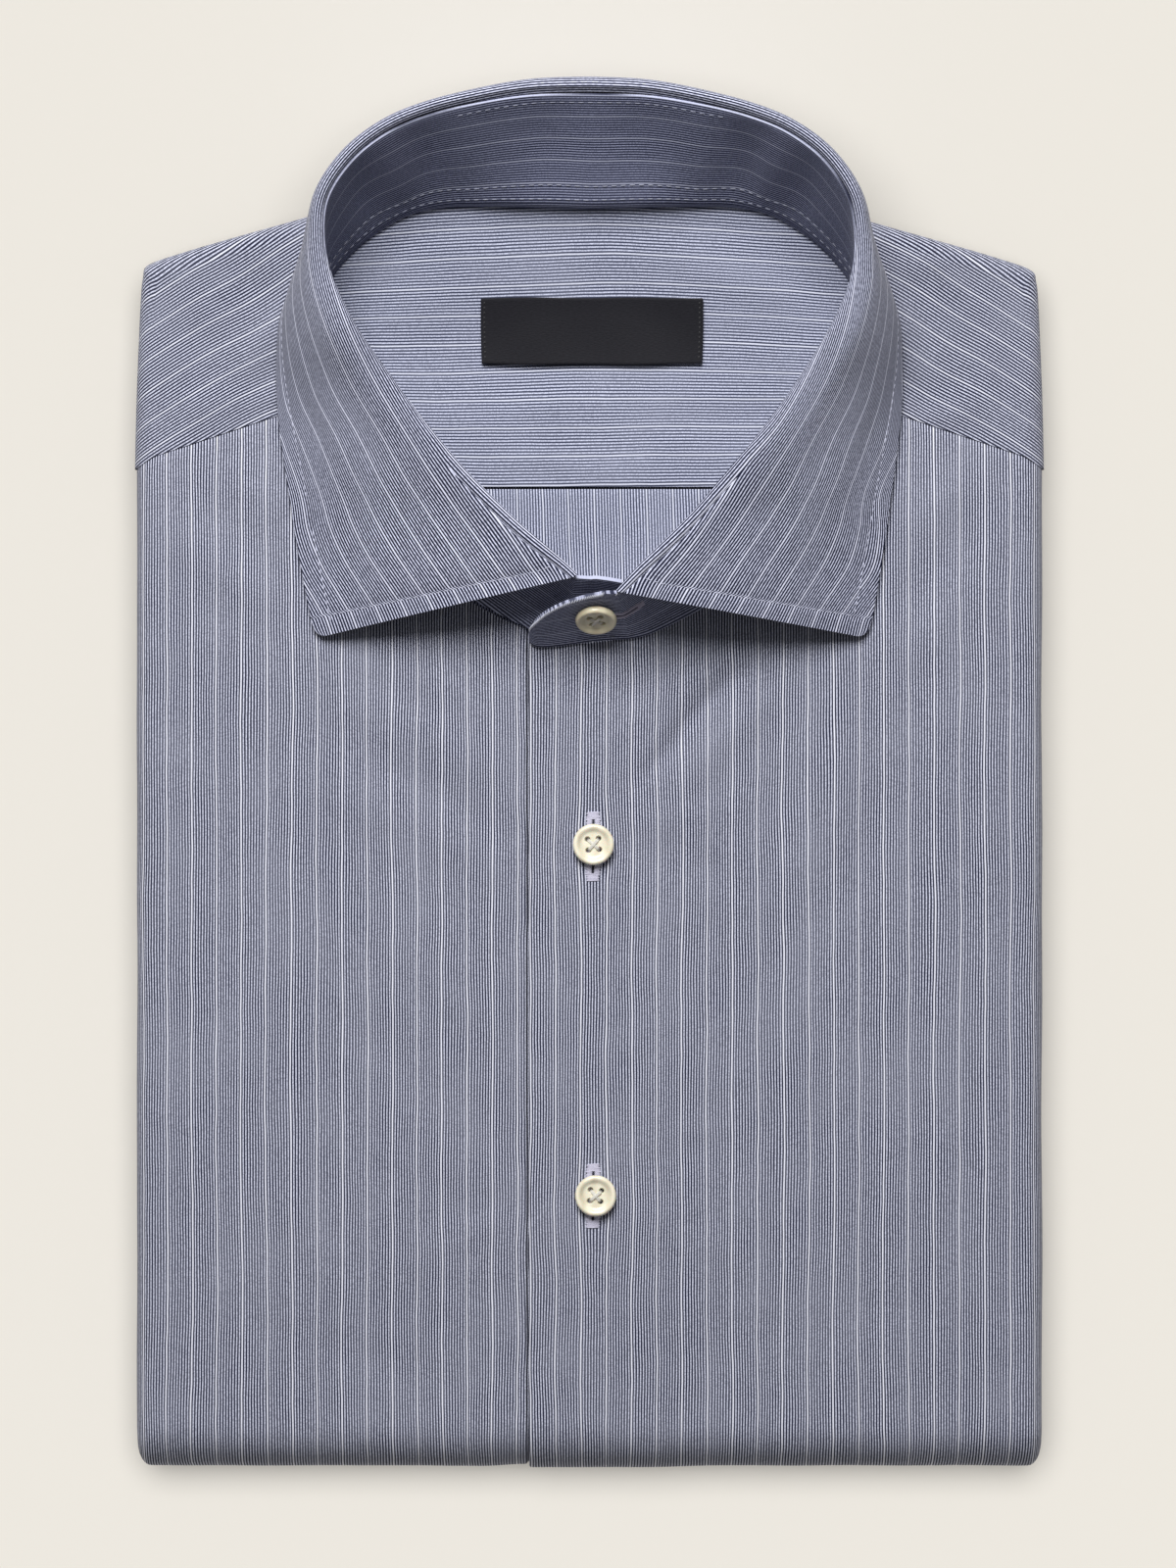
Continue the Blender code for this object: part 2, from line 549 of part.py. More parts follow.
def build_core():
    """The hidden layers: two stacks joined by a web, their edges rounded, a groove between."""
    under_top = CLOTH + GAP  # what the outside piece takes at every face
    half = HALF_WIDTH - under_top - CORE_ROUND - 0.6
    right_columns = [*INSIDE_COLUMNS, half]
    columns = [-x for x in right_columns[:0:-1]] + right_columns

    def grid_point(r, c, top):
        x = columns[c] * (CORE_FOLD_SHARE if r == rows - 1 else 1.0)
        hem = TAIL_HEM_Y - CORE_TAIL_SHORT - CORE_ROUND
        first = shoulder_y(x) - under_top - CORE_ROUND - CORE_TAIL_SHORT / 2 if top else hem
        y = mix(first, FOLD_Y, CORE_ROWS[r])
        if top:
            height = inside_height(x, y) - CORE_SLACK - under_top
            return Vector((x, y, mix(height, FOLD_RADIUS + CORE_FOLD_RADIUS, r == rows - 1)))
        raised = CLOTH + GAP if abs(x) < CLOSURE_HALF else 0.0
        height = under_top + raised
        return Vector((x, y, mix(height, FOLD_RADIUS - CORE_FOLD_RADIUS, r == rows - 1)))

    rows, cols = len(CORE_ROWS), len(columns)
    border = [(0, c) for c in range(cols)]
    border += [(r, cols - 1) for r in range(1, rows)]
    border += [(rows - 1, c) for c in range(cols - 2, -1, -1)]
    border += [(r, 0) for r in range(rows - 2, 0, -1)]

    def wall_points(r, c):
        """Points down the wall below one border point of the top."""
        above, below = grid_point(r, c, True), grid_point(r, c, False)
        turns = 10
        if r == rows - 1:
            centre = Vector((above.x, FOLD_Y, FOLD_RADIUS))
            angles = [pi * k / (turns + 1) for k in range(1, turns + 1)]
            return [centre + Vector((0, -sin(a), cos(a))) * CORE_FOLD_RADIUS for a in angles]
        out = Vector((0.0, 0.0, 0.0))
        if c in (0, cols - 1):
            out.x = 1.0 if c else -1.0
        if r == 0:
            out.y = 1.0
        if out.x and out.y:
            out *= 0.45
        open_up = 1 - ease(CORE_ROWS[r], 0.84, 1.0)
        high, low = TUCK_TOP + under_top, TUCK_TAIL - under_top
        deep = 2.5 + TUCK_LENGTH * open_up
        points = []
        for k in range(1, 5):
            a = pi * k / 4
            z = mix(above.z, high, (1 - cos(a)) / 2)
            points.append(above + out * (CORE_ROUND * sin(a)) + Vector((0, 0, z - above.z)))
        inner = Vector((above.x, min(above.y, below.y), 0)) - out * deep
        points.append(Vector((inner.x, inner.y, high)))
        points.append(Vector((inner.x, inner.y, low)))
        for k in range(0, 4):
            a = pi * k / 4
            z = mix(low, below.z, (1 - cos(a)) / 2)
            points.append(Vector((below.x, below.y, z)) + out * (CORE_ROUND * sin(a)))
        return points

    points = [grid_point(r, c, True) for r in range(rows) for c in range(cols)]
    bottom = len(points)
    points += [grid_point(r, c, False) for r in range(rows) for c in range(cols)]
    faces = []
    for r in range(rows - 1):
        for c in range(cols - 1):
            quad = (r * cols + c, (r + 1) * cols + c, (r + 1) * cols + c + 1, r * cols + c + 1)
            faces.append(quad)
            faces.append(tuple(bottom + i for i in reversed(quad)))
    chains = []
    for r, c in border:
        start = len(points)
        walls = wall_points(r, c)
        points += walls
        middle = range(start, start + len(walls))
        chains.append([r * cols + c, *middle, bottom + r * cols + c])
    for one, two in zip(chains, chains[1:] + chains[:1]):
        for k in range(len(one) - 1):
            faces.append((one[k], two[k], two[k + 1], one[k + 1]))
    add_object("folded_layers", points, faces, (0.30, 0.31, 0.38), 0.85)


def main():
    for old in list(bpy.data.objects):
        bpy.data.objects.remove(old)
    build_fronts()
    build_inside()
    build_yoke_outer()
    stand = build_stand()
    build_leaf()
    build_label()
    build_buttons(stand)
    build_core()


main()
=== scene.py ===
"""Folded dress shirt: the striped cloth, its creases, seams, buttons and stitches.

+X is the wearer's left, +Y runs from the bottom fold to the collar, +Z is up from the table.
Sizes are in mm; MM brings them to metres when a mesh is made.
"""

from math import atan2, cos, exp, hypot, pi, radians, sin, sqrt

import bpy
from mathutils import Matrix, Vector, noise


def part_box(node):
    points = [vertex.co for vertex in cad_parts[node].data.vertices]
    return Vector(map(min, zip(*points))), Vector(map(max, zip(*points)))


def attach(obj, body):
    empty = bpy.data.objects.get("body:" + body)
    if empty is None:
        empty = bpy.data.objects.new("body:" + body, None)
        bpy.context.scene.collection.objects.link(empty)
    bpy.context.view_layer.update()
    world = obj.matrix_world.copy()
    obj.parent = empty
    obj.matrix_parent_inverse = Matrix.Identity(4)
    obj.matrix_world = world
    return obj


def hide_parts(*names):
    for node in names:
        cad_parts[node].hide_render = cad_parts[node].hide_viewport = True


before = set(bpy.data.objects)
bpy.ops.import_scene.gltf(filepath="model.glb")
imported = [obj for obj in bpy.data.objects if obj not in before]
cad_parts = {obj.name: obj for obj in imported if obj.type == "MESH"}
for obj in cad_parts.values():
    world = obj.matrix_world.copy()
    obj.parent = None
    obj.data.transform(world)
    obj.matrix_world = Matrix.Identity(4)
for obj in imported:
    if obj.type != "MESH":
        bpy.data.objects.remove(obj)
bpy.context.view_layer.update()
MM = 0.001

# ---------------------------------------------------------------------------------------------
# The two fronts. Fine cotton shirting in navy and white hairline stripes with a wider white
# stripe every nine, pressed and folded: each runs down the face, round the bottom fold and up
# underneath, with its side turned in. The placket's edge is folded back under itself.

HALF_WIDTH = 125.6
FOLD_HEIGHT, FOLD_Y, FOLD_RADIUS = 25.0, -180.4, 12.5
CROWN, SHOULDER_DROOP, NECK_RISE = 1.0, 4.5, 2.6
TAIL_HEM_Y = 128.0
SIDE_ROUND_TOP, SIDE_ROUND_FOLD, SIDE_ROUND_TAIL = 6.0, 3.6, 5.0
TUCK_LENGTH, TUCK_TOP, TUCK_TAIL = 12.0, 13.0, 11.5
PLACKET_EDGE_X, UNDERLAP_X = -16.7, 17.0
PLACKET_RAISE, PLACKET_CLOSE, UNDERLAP_SINK = 0.9, 0.45, 0.95
CLOSURE_HALF, CLOSURE_FADE = 30.0, 46.0
NECK_FRONT_Y, SEAM_GAP = 36.3, 0.5
YOKE_SEAM_NECK, YOKE_SEAM_SIDE, YOKE_SEAM_DIP = (75.0, 102.6), (119.6, 87.7), 3.4
CLOTH, TOP_CLOTH = 0.6, 0.5  # a pressed piece of shirting, and the front that lies on top
STRIPE, HAIRLINES = 6.966, 9  # from one wide stripe to the next, and the hairlines in that
STRIPES_FROM = {1: 9.35, -1: -19.9}  # where the stripes of each front start
STRIPES_APART = {1: 6.98, -1: 6.93}  # and how far apart the pressing left its wide ones
DROOP_Y, DROOP_X = (70, 140), (55, 122)  # where the shoulders droop
RISE_Y, RISE_X = (112, 157), (50, 80)  # and where the face rises behind the neck
FACE_LENGTH, UNDER_YOKE = 280.0, 0.85  # down a front; how deep its top lies under the yoke
FACE_RUMPLE, FOLD_RUMPLE, SIDE_WAVE = 0.22, 0.16, 0.30  # how uneven the pressing left them
BUTTON_PRESS, BUTTON_PINCH = -0.28, 0.75  # a button presses the cloth, and gathers it
FRONT_BUTTONS = ((1.1, -19.7, 4.0), (1.7, -116.6, -5.0))  # x, y, turn in degrees

# Half of the collar, from the front to the middle of the back: the neck seam, the top of the
# stand, the stand's height, the leaf's lower edge and how far that edge hangs below the face.
COLLAR = (
    # seam_x, seam_y, top_x, top_y, stand, edge_x, edge_y, hang
    (9, 37.5, 5.5, 51.5, 24, 75.8, 37.3, 0.6),
    (16.6, 39.6, 10.6, 57.6, 26, 77.6, 43.4, 0.3),
    (33, 48, 21.8, 68.8, 29, 79.8, 55.5, 0),
    (44, 56.5, 31.6, 78.3, 30.5, 81.6, 66.5, 0),
    (53, 65.5, 39.9, 86.2, 31.5, 83.2, 77.5, 0),
    (63, 78, 49.7, 97.5, 32, 85, 90, 0),
    (70.4, 91.5, 58.6, 109.8, 32, 86.3, 102, 0),
    (75.2, 106.5, 65.7, 122.2, 32, 86.5, 114.5, 0),
    (76.6, 121, 71.1, 136.5, 32, 85.2, 127.5, 0),
    (73.6, 134.5, 72.9, 148.5, 32, 78.8, 140, 0),
    (67.2, 143.4, 71.4, 158, 32.5, 75.4, 152.5, -0.6),
    (58.8, 150.2, 64.6, 168, 33, 69.4, 163.8, 8),
    (49.6, 155, 54.6, 175.6, 33.5, 58.8, 175, 18),
    (39.4, 157, 43.4, 180.4, 34, 45.8, 183, 21),
    (28, 157.2, 31, 183.6, 34, 32.4, 187, 22),
    (14, 156.9, 15.7, 186.2, 34, 16.2, 188.8, 22.5),
    (0, 156.6, 0, 186.7, 34, 0, 189.4, 22.5),
)

# Soft creases pressed into the face, each a trough or a ridge between two points.
FRONT_CREASES = (
    # x0, y0, x1, y1, half_width, rise
    (-112, 79, -82, 53, 4.6, -0.60),
    (-116, 70, -88, 44, 5.5, 0.75),
    (-100, 84, -84, 70, 3.6, 0.45),
    (-80, 14, -15, -18.5, 5, -0.55),
    (-84, 4, -22, -28, 6, 0.42),
    (-72, 30, -32, 16, 4.5, -0.42),
    (-60, 20, -24, 0, 5, 0.40),
    (-112, 8, -96, -60, 6, -0.40),
    (-106, -22, -88, -96, 7, 0.42),
    (-70, -58, -34, -104, 6.5, -0.28),
    (-62, -40, -22, -70, 7, 0.30),
    (-92, -108, -58, -150, 7, 0.31),
    (-46, -112, -20, -124, 4.5, -0.28),
    (-50, -140, -22, -122, 4, 0.27),
    (48, 33, 11, -4, 2.8, -1.30),
    (54, 24, 18, -12, 4.2, 0.60),
    (60, 28, 57, -16, 4.6, -0.42),
    (40, 33, 6, 8, 4.5, 0.55),
    (112, 74, 84, 46, 5, -0.55),
    (104, 80, 88, 64, 4, 0.48),
    (110, 52, 84, 28, 6, 0.42),
    (88, 12, 66, -44, 6, -0.42),
    (78, 16, 54, -40, 7, 0.45),
    (46, -30, 8, -22, 4.4, -0.40),
    (44, -8, 10, -14, 3.8, 0.36),
    (106, -30, 96, -110, 7, 0.30),
    (72, -84, 50, -140, 7, -0.28),
    (40, -100, 10, -114, 4.4, -0.30),
    (44, -134, 12, -120, 4.8, 0.30),
    (30, -52, 24, -88, 5, 0.27),
    (-98, -150, -40, -166, 5, -0.23),
    (30, -158, 96, -148, 5.5, -0.23),
)
TAIL_CREASES = (
    (-108, 96, -52, 60, 6, -0.50),
    (-92, 20, -30, 44, 6.5, -0.46),
    (-70, -30, -40, -96, 7, -0.52),
    (-24, -60, -10, -140, 5, -0.36),
    (100, 110, 70, 58, 7, -0.50),
    (88, 6, 36, -20, 5.5, -0.44),
    (60, -60, 74, -130, 7.5, -0.52),
    (24, 100, 38, 30, 6, -0.40),
)


def ease(value, start, end):
    """Go smoothly from 0 at start to 1 at end."""
    share = min(1.0, max(0.0, (value - start) / (end - start)))
    return share * share * (3 - 2 * share)


def mix(a, b, share):
    return a + (b - a) * share


def along(rows, place):
    """Read a table at any place between its rows, on a smooth curve through them."""
    last = len(rows) - 1
    i = min(last - 1, max(0, int(place)))
    f = place - i
    before, here, after, beyond = (rows[min(last, max(0, k))] for k in (i - 1, i, i + 1, i + 2))
    return tuple(
        (2 * b + (c - a) * f + (2 * a - 5 * b + 4 * c - d) * f**2 + (3 * b - a - 3 * c + d) * f**3)
        / 2
        for a, b, c, d in zip(before, here, after, beyond)
    )


def steps(start, end, count):
    return [mix(start, end, k / count) for k in range(count + 1)]


def on_line(line, x):
    """Read a broken line of points in order of x; past its end it stays level."""
    for (x0, y0), (x1, y1) in zip(line, line[1:]):
        if x0 <= x <= x1:
            return mix(y0, y1, (x - x0) / max(1e-6, x1 - x0))
    return line[-1][1]


def creased(creases, x, y):
    """Rise of the cloth at a point, from the creases that reach it."""
    rise = 0.0
    for x0, y0, x1, y1, half_width, height in creases:
        run_x, run_y = x1 - x0, y1 - y0
        span = hypot(run_x, run_y)
        share = ((x - x0) * run_x + (y - y0) * run_y) / span**2
        if not -0.15 < share < 1.15:
            continue
        # each one bends a little, and its ends run out softly
        aside = ((x - x0) * run_y - (y - y0) * run_x) / span
        aside += 1.6 * sin(3.1 * share + x0) + 0.5 * sin(9 * share + y0)
        if abs(aside) < 3 * half_width:
            ends = ease(share, -0.15, 0.35) * (1 - ease(share, 0.65, 1.15))
            rise += height * ends * exp(-((aside / half_width) ** 2))
    return rise


def rumpled(x, y, size, seed):
    """A slow, even unevenness of hand-pressed cloth, between -1 and 1."""
    return noise.noise(Vector((x / size, y / size, seed)))


def face_height(x, y):
    """Height of the shirt's outside face over the flat part of the package."""
    crown = CROWN * (1 - (x / HALF_WIDTH) ** 2) * ease(y, FOLD_Y, FOLD_Y + 60)
    droop = SHOULDER_DROOP * ease(y, *DROOP_Y) * ease(abs(x), *DROOP_X)
    rise = NECK_RISE * ease(y, *RISE_Y) * (1 - ease(abs(x), *RISE_X))
    return FOLD_HEIGHT + crown - droop + rise


NECK_LINE = [(0.0, NECK_FRONT_Y)]
NECK_LINE += [along(COLLAR, k / 4)[:2] for k in range(0, 28)]
NECK_LINE += [YOKE_SEAM_NECK, YOKE_SEAM_SIDE]


def neck_seam(x):
    """Y of the neck seam and of the front yoke seam, which bound the fronts above."""
    return on_line(NECK_LINE, x)


def add_node(tree, kind, inputs=(), out=0, **settings):
    """Add a shader node; its inputs, by name or in order, are values or other nodes' outputs."""
    made = tree.nodes.new("ShaderNode" + kind)
    for setting, value in settings.items():
        setattr(made, setting, value)
    pairs = inputs.items() if isinstance(inputs, dict) else enumerate(inputs)
    for socket, value in pairs:
        if isinstance(value, bpy.types.NodeSocket):
            tree.links.new(value, made.inputs[socket])
        elif value is not None:
            made.inputs[socket].default_value = value
    return made.outputs[out]


def tinted(tree, share, low, high):
    """Mix two colours by a share; each is three numbers or another node's output."""
    low, high = (c if isinstance(c, bpy.types.NodeSocket) else (*c, 1.0) for c in (low, high))
    return add_node(tree, "Mix", {"Factor": share, 6: low, 7: high}, out=2, data_type="RGBA")


def surface(tree, shader, tint, height, depth, strength=1.0):
    """Give a shader its colour, and a fine relief as deep as depth in mm."""
    tree.links.new(tint, shader.inputs["Base Color"])
    relief = {"Strength": strength, "Distance": depth * MM, "Height": height}
    tree.links.new(add_node(tree, "Bump", relief), shader.inputs["Normal"])


def plain_material(name, colour, roughness, **settings):
    """A material whose even values sit on the shader itself."""
    made = bpy.data.materials.new(name)
    made.use_nodes = True
    shader = made.node_tree.nodes["Principled BSDF"]
    shader.inputs["Base Color"].default_value = (*colour, 1.0)
    shader.inputs["Roughness"].default_value = roughness
    for setting, value in settings.items():
        shader.inputs[setting.replace("_", " ")].default_value = value
    return made, made.node_tree, shader


SWAY, SHIVER = 1.9, 0.34  # how far the stripes wander, slowly and where the cloth is crinkled
# single threads, from the thinnest to the fullest: their noise, then how strongly they show
HAIRLINE_THREADS, WIDE_THREADS = (0.25, 0.75, 0.60, 1.10), (0.2, 0.6, 0.78, 1.0)
CALM, SLOPE_LIGHT_BLUR = 0.26, 3.0  # the contrast that calm patches lose, and the soft edge of the part with painted light
WEAVE, GRAIN, CRINKLE = 0.010, 0.035, 0.42  # relief in mm


def striped_cotton(
    name,
    navy,
    pale,
    white,
    wobble=1.0,
    faint=0.0,
    hairline_at=(-0.36, 0.86),
    wide_at=(0.10, 0.29),
    slope_painted_light=None,
):
    """Hairline stripes along the cut cloth: u crosses them, v follows them.

    wobble sways them as the cloth is creased, and faint takes some of their contrast away.
    The last argument takes more away in one part of the piece, as painted light for a slope whose
    threads shade each other: from u, and between four values of v.
    """
    made, tree, shader = plain_material(
        name, pale, 0.82, Specular_IOR_Level=0.18, Sheen_Weight=0.06, Sheen_Roughness=0.45
    )
    cut = add_node(tree, "UVMap", uv_map="cut")
    mm = add_node(tree, "VectorMath", (cut, (1 / MM,) * 3), operation="MULTIPLY")
    split = tree.nodes.new("ShaderNodeSeparateXYZ")
    tree.links.new(mm, split.inputs[0])
    u, v = split.outputs[0], split.outputs[1]

    def uneven(scale, detail, stretch=1.0):
        spread = add_node(tree, "CombineXYZ", (u, add_math("MULTIPLY", v, stretch)))
        return add_node(
            tree, "TexNoise", {"Vector": spread, "Scale": scale, "Detail": detail, "Roughness": 0.5}
        )

    def add_math(kind, *values):
        return add_node(tree, "Math", values, operation=kind)

    def between(value, low, high, to_low=0.0, to_high=1.0):
        spread = {"Value": value, "From Min": low, "From Max": high}
        spread |= {"To Min": to_low, "To Max": to_high}
        return add_node(tree, "MapRange", spread, interpolation_type="SMOOTHSTEP")

    # the stripes sway slowly, and shiver where the cloth is crinkled
    slow = uneven(0.035, 1.0, 0.6)
    quick = uneven(0.22, 1.0, 0.45)
    sway = add_math("MULTIPLY_ADD", slow, SWAY * wobble, -SWAY / 2 * wobble)
    shiver = add_math("MULTIPLY_ADD", quick, SHIVER * wobble, -SHIVER / 2 * wobble)
    place = add_math("ADD", u, add_math("ADD", sway, shiver))
    wave = add_math("COSINE", add_math("MULTIPLY", place, 2 * pi * HAIRLINES / STRIPE))
    hairline = between(wave, *hairline_at)
    wide = between(add_math("PINGPONG", place, STRIPE / 2), *wide_at, 1.0, 0.0)

    # every hairline is woven of single threads, so it breaks up into small dashes
    threads = uneven(2.6, 0.0, 0.9)
    hairline = add_math("MULTIPLY", hairline, between(threads, *HAIRLINE_THREADS))
    # calm patches, and the part with painted light, fade towards what the hairlines come to on the
    # whole
    calm = add_math("MULTIPLY", between(uneven(0.05, 2.0, 0.7), 0.42, 0.72), CALM + faint)
    calm = add_math("ADD", calm, faint * 0.6)
    if slope_painted_light:
        edge, starts, full, fades, ends, amount = slope_painted_light
        slope_light_share = add_math("MULTIPLY", between(v, starts, full), between(v, fades, ends, 1.0, 0.0))
        slope_light_share = add_math("MULTIPLY", slope_light_share, between(u, edge - SLOPE_LIGHT_BLUR, edge + SLOPE_LIGHT_BLUR))
        calm = add_math("MULTIPLY_ADD", slope_light_share, amount, calm)
    level = 0.85 * sum(ease(cos(pi * k / 60), *hairline_at) for k in range(60)) / 60
    hairline = add_node(tree, "Mix", {"Factor": calm, "A": hairline, "B": level})

    cloth = tinted(tree, hairline, navy, pale)
    bright = add_math("MULTIPLY", wide, between(threads, *WIDE_THREADS))
    cloth = tinted(tree, bright, cloth, white)

    # the weave itself, and the crinkle that pressing leaves
    weave = add_math("MULTIPLY", wave, WEAVE)
    grain = add_math("MULTIPLY", uneven(2.4, 1.0, 1.6), GRAIN)
    crinkle = add_math("MULTIPLY", uneven(0.16, 2.0, 0.55), CRINKLE * wobble)
    height = add_math("ADD", crinkle, add_math("ADD", weave, grain))
    surface(tree, shader, cloth, height, 1.0)
    return made


def add_mesh(name, points, faces, uvs=None):
    """Make an object of a mesh in mm, with where each corner lies on the cut cloth."""
    mesh = bpy.data.meshes.new(name)
    mesh.from_pydata([Vector(p) * MM for p in points], [], faces)
    if uvs:
        layer = mesh.uv_layers.new(name="cut")
        for loop in mesh.loops:
            layer.data[loop.index].uv = Vector(uvs[loop.vertex_index]) * MM
    made = bpy.data.objects.new(name, mesh)
    bpy.context.collection.objects.link(made)
    return made


def settle(piece, angle=50):
    """Apply a piece's modifiers, and shade it smooth but for its real edges."""
    bpy.context.view_layer.update()
    solid = bpy.data.meshes.new_from_object(
        piece.evaluated_get(bpy.context.evaluated_depsgraph_get())
    )
    piece.modifiers.clear()
    piece.data = solid
    solid.shade_smooth()
    solid.set_sharp_from_angle(angle=radians(angle))
    return piece


def lay_cloth(name, grid, cut, finish, thick=CLOTH, offset=-1.0, lining=None):
    """Lay a piece of cloth from rows of points on its outer face, and soften its edges."""
    across = len(grid[0])
    faces = [
        (r * across + c, r * across + c + 1, (r + 1) * across + c + 1, (r + 1) * across + c)
        for r in range(len(grid) - 1)
        for c in range(across - 1)
    ]
    piece = add_mesh(name, [p for row in grid for p in row], faces, [q for row in cut for q in row])
    wall = piece.modifiers.new("wall", "SOLIDIFY")
    wall.thickness = thick * MM
    wall.offset = offset
    soft = piece.modifiers.new("soft edges", "BEVEL")
    soft.width = thick * 0.3 * MM
    soft.segments = 2
    soft.angle_limit = radians(70)
    piece.data.materials.append(finish)
    if lining:
        piece.data.materials.append(lining)
        wall.material_offset = 1
    return settle(piece)


def distances(row):
    """Running length along a row of points."""
    total = [0.0]
    for a, b in zip(row, row[1:]):
        total.append(total[-1] + (Vector(b) - Vector(a)).length)
    return total


def pinched(x, y):
    """How far the stripes are pushed aside by a button in its buttonhole."""
    push = 0.0
    for button_x, button_y, _ in FRONT_BUTTONS:
        dx, dy = x - button_x, y - button_y
        if abs(dy) < 50 and abs(dx) < 40:
            near = exp(-((dx / 12) ** 2)) * (1 - exp(-((dx / 2.5) ** 2)))
            push += (BUTTON_PINCH if dx > 0 else -BUTTON_PINCH) * near * exp(-((dy / 13) ** 2))
    return push


# Rows down the face, round the fold and along the tail; columns of the flat part, of the round
# side and of what is turned in, and a few more beside the placket's edge.
FACE_ROWS, FOLD_ROWS, TAIL_ROWS = 116, 18, 84
FLAT_COLUMNS, ROUND_COLUMNS, TUCK_COLUMNS = 68, 12, 4
PLACKET_COLUMNS = (-0.3, 0.0, 0.2, 0.4, 0.6, 0.9, 1.5)


def front_grid(side, first_x, edge, lay_top, lay_tail, top_margin):
    """Lay one front; edge lists points of the folded placket edge, as x and depth below."""
    grid, cut = [], []
    stretch = STRIPE / STRIPES_APART[side]
    rows = [("top", s) for s in (-0.012, -0.005, *steps(0.0, 1.0, FACE_ROWS))]
    rows += [("fold", a) for a in steps(0.0, pi, FOLD_ROWS)[1:-1]]
    rows += [("tail", s) for s in steps(0.0, 1.0, TAIL_ROWS)]
    for kind, value in rows:
        top_share = {"top": 0.0, "tail": 1.0}.get(kind, value / pi)
        middle = sin(value) if kind == "fold" else 0.0
        round_x = mix(mix(SIDE_ROUND_TOP, SIDE_ROUND_TAIL, top_share), SIDE_ROUND_FOLD, middle)
        start = HALF_WIDTH - round_x
        flat = steps(first_x, start, FLAT_COLUMNS) + [d - PLACKET_EDGE_X for d in PLACKET_COLUMNS]
        # a row's section: distance out from the placket line, depth down the side, and below
        section = [(x, 0.0, below) for x, below in edge] + [(x, 0.0, 0.0) for x in sorted(flat)]
        for a in steps(0.0, pi, ROUND_COLUMNS)[1:]:
            section.append((start + round_x * sin(a), (1 - cos(a)) / 2, 0.0))
        if kind == "top":
            reach = mix(1.0, TUCK_LENGTH, 1 - ease(value, 0.8, 1.0))
        elif kind == "tail":
            reach = mix(1.0, TUCK_LENGTH, ease(value, 0.0, 0.15))
        else:
            reach = 1.0
        for k in range(1, TUCK_COLUMNS + 1):
            section.append((start - reach * k / TUCK_COLUMNS, 1.0, 0.0))
        row = []
        for x, depth, below in section:
            actual = side * x
            flatness = 1 - depth
            lay = mix(lay_top(actual), lay_tail(actual), top_share) - below
            calm = ease(x, first_x, first_x + 9) * flatness
            if kind == "top":
                seam_y = neck_seam(max(x, 0.0))
                if depth:  # the yoke seam drops a little where it goes round the side
                    seam_y = YOKE_SEAM_SIDE[1] - YOKE_SEAM_DIP * 2 * sqrt(depth * (1 - depth))
                y_start = seam_y - SEAM_GAP + top_margin(actual)
                # beyond its seam the front goes on under the yoke
                under = ease(-value, 0.0, 0.005) * ease(x, 72, 76)
                y = mix(y_start, FOLD_Y, max(value, 0.0)) + max(0.0, -value) * FACE_LENGTH * under
                height = face_height(min(x, start), y) + lay - UNDER_YOKE * under * flatness
                rise = creased(FRONT_CREASES, actual, y)
                rise += FACE_RUMPLE * rumpled(actual, y * 0.6, 22, 1.0)
                rise *= 1 - ease(value, 0.93, 1.0)
                for button_x, button_y, _ in FRONT_BUTTONS:
                    near = exp(-((actual - button_x) ** 2 + (y - button_y) ** 2) / 90)
                    rise = mix(rise, BUTTON_PRESS, near)
                point = (actual, y, mix(height + rise * calm, TUCK_TOP, depth))
            else:
                full = mix(FOLD_HEIGHT - TUCK_TOP, TUCK_TAIL, top_share)
                radius = FOLD_RADIUS + lay - depth * full
                if kind == "fold":
                    uneven = rumpled(actual, 40 + value * 6, 16, 2.0)
                    radius += FOLD_RUMPLE * uneven * middle * flatness
                    y, z = FOLD_Y - radius * sin(value), FOLD_RADIUS + radius * cos(value)
                else:
                    y = mix(FOLD_Y, TAIL_HEM_Y, value)
                    inward = -creased(TAIL_CREASES, actual, y) * calm * ease(value, 0.0, 0.1)
                    z = FOLD_RADIUS - radius + max(0.0, inward)
                point = (actual, y, z)
            if depth:
                wave = SIDE_WAVE * rumpled(0, point[1], 38, 5.0 + side) * sin(pi * depth)
                point = (point[0] + side * wave, point[1], point[2])
            row.append(point)
        # across the stripes the cloth is as wide as its section
        spans = distances([(x, -depth * 12 - below, 0.0) for x, depth, below in section])
        cut_row = []
        for span, point in zip(spans, row):
            span = (span - spans[len(edge)] + first_x + STRIPES_FROM[side]) * stretch
            cut_row.append(span - pinched(*point[:2]) * (kind == "top"))
        cut.append(cut_row)
        grid.append(row)
    middle = len(grid[0]) // 2
    down = distances([row[middle] for row in grid])
    cut = [[(u, down[r]) for u in row] for r, row in enumerate(cut)]
    if side > 0:
        grid, cut = [row[::-1] for row in grid], [row[::-1] for row in cut]
    return grid, cut


def raise_placket(x):
    return PLACKET_RAISE * (1 - ease(x, UNDERLAP_X, CLOSURE_FADE - 10))


def sink_underlap(x):
    """The other front lies close against the placket's edge, and dips under it."""
    beside = PLACKET_CLOSE * (1 - ease(-x, 20, CLOSURE_FADE))
    return mix(-UNDERLAP_SINK, beside, ease(-x, 0.2 - PLACKET_EDGE_X, 0.9 - PLACKET_EDGE_X))


def sink_tail(x):
    return -1.5 * (1 - ease(-x, 1 - PLACKET_EDGE_X, CLOSURE_HALF))


shirting = striped_cotton(
    "striped_cotton", (0.008, 0.010, 0.031), (0.60, 0.62, 0.745), (0.70, 0.71, 0.80)
)

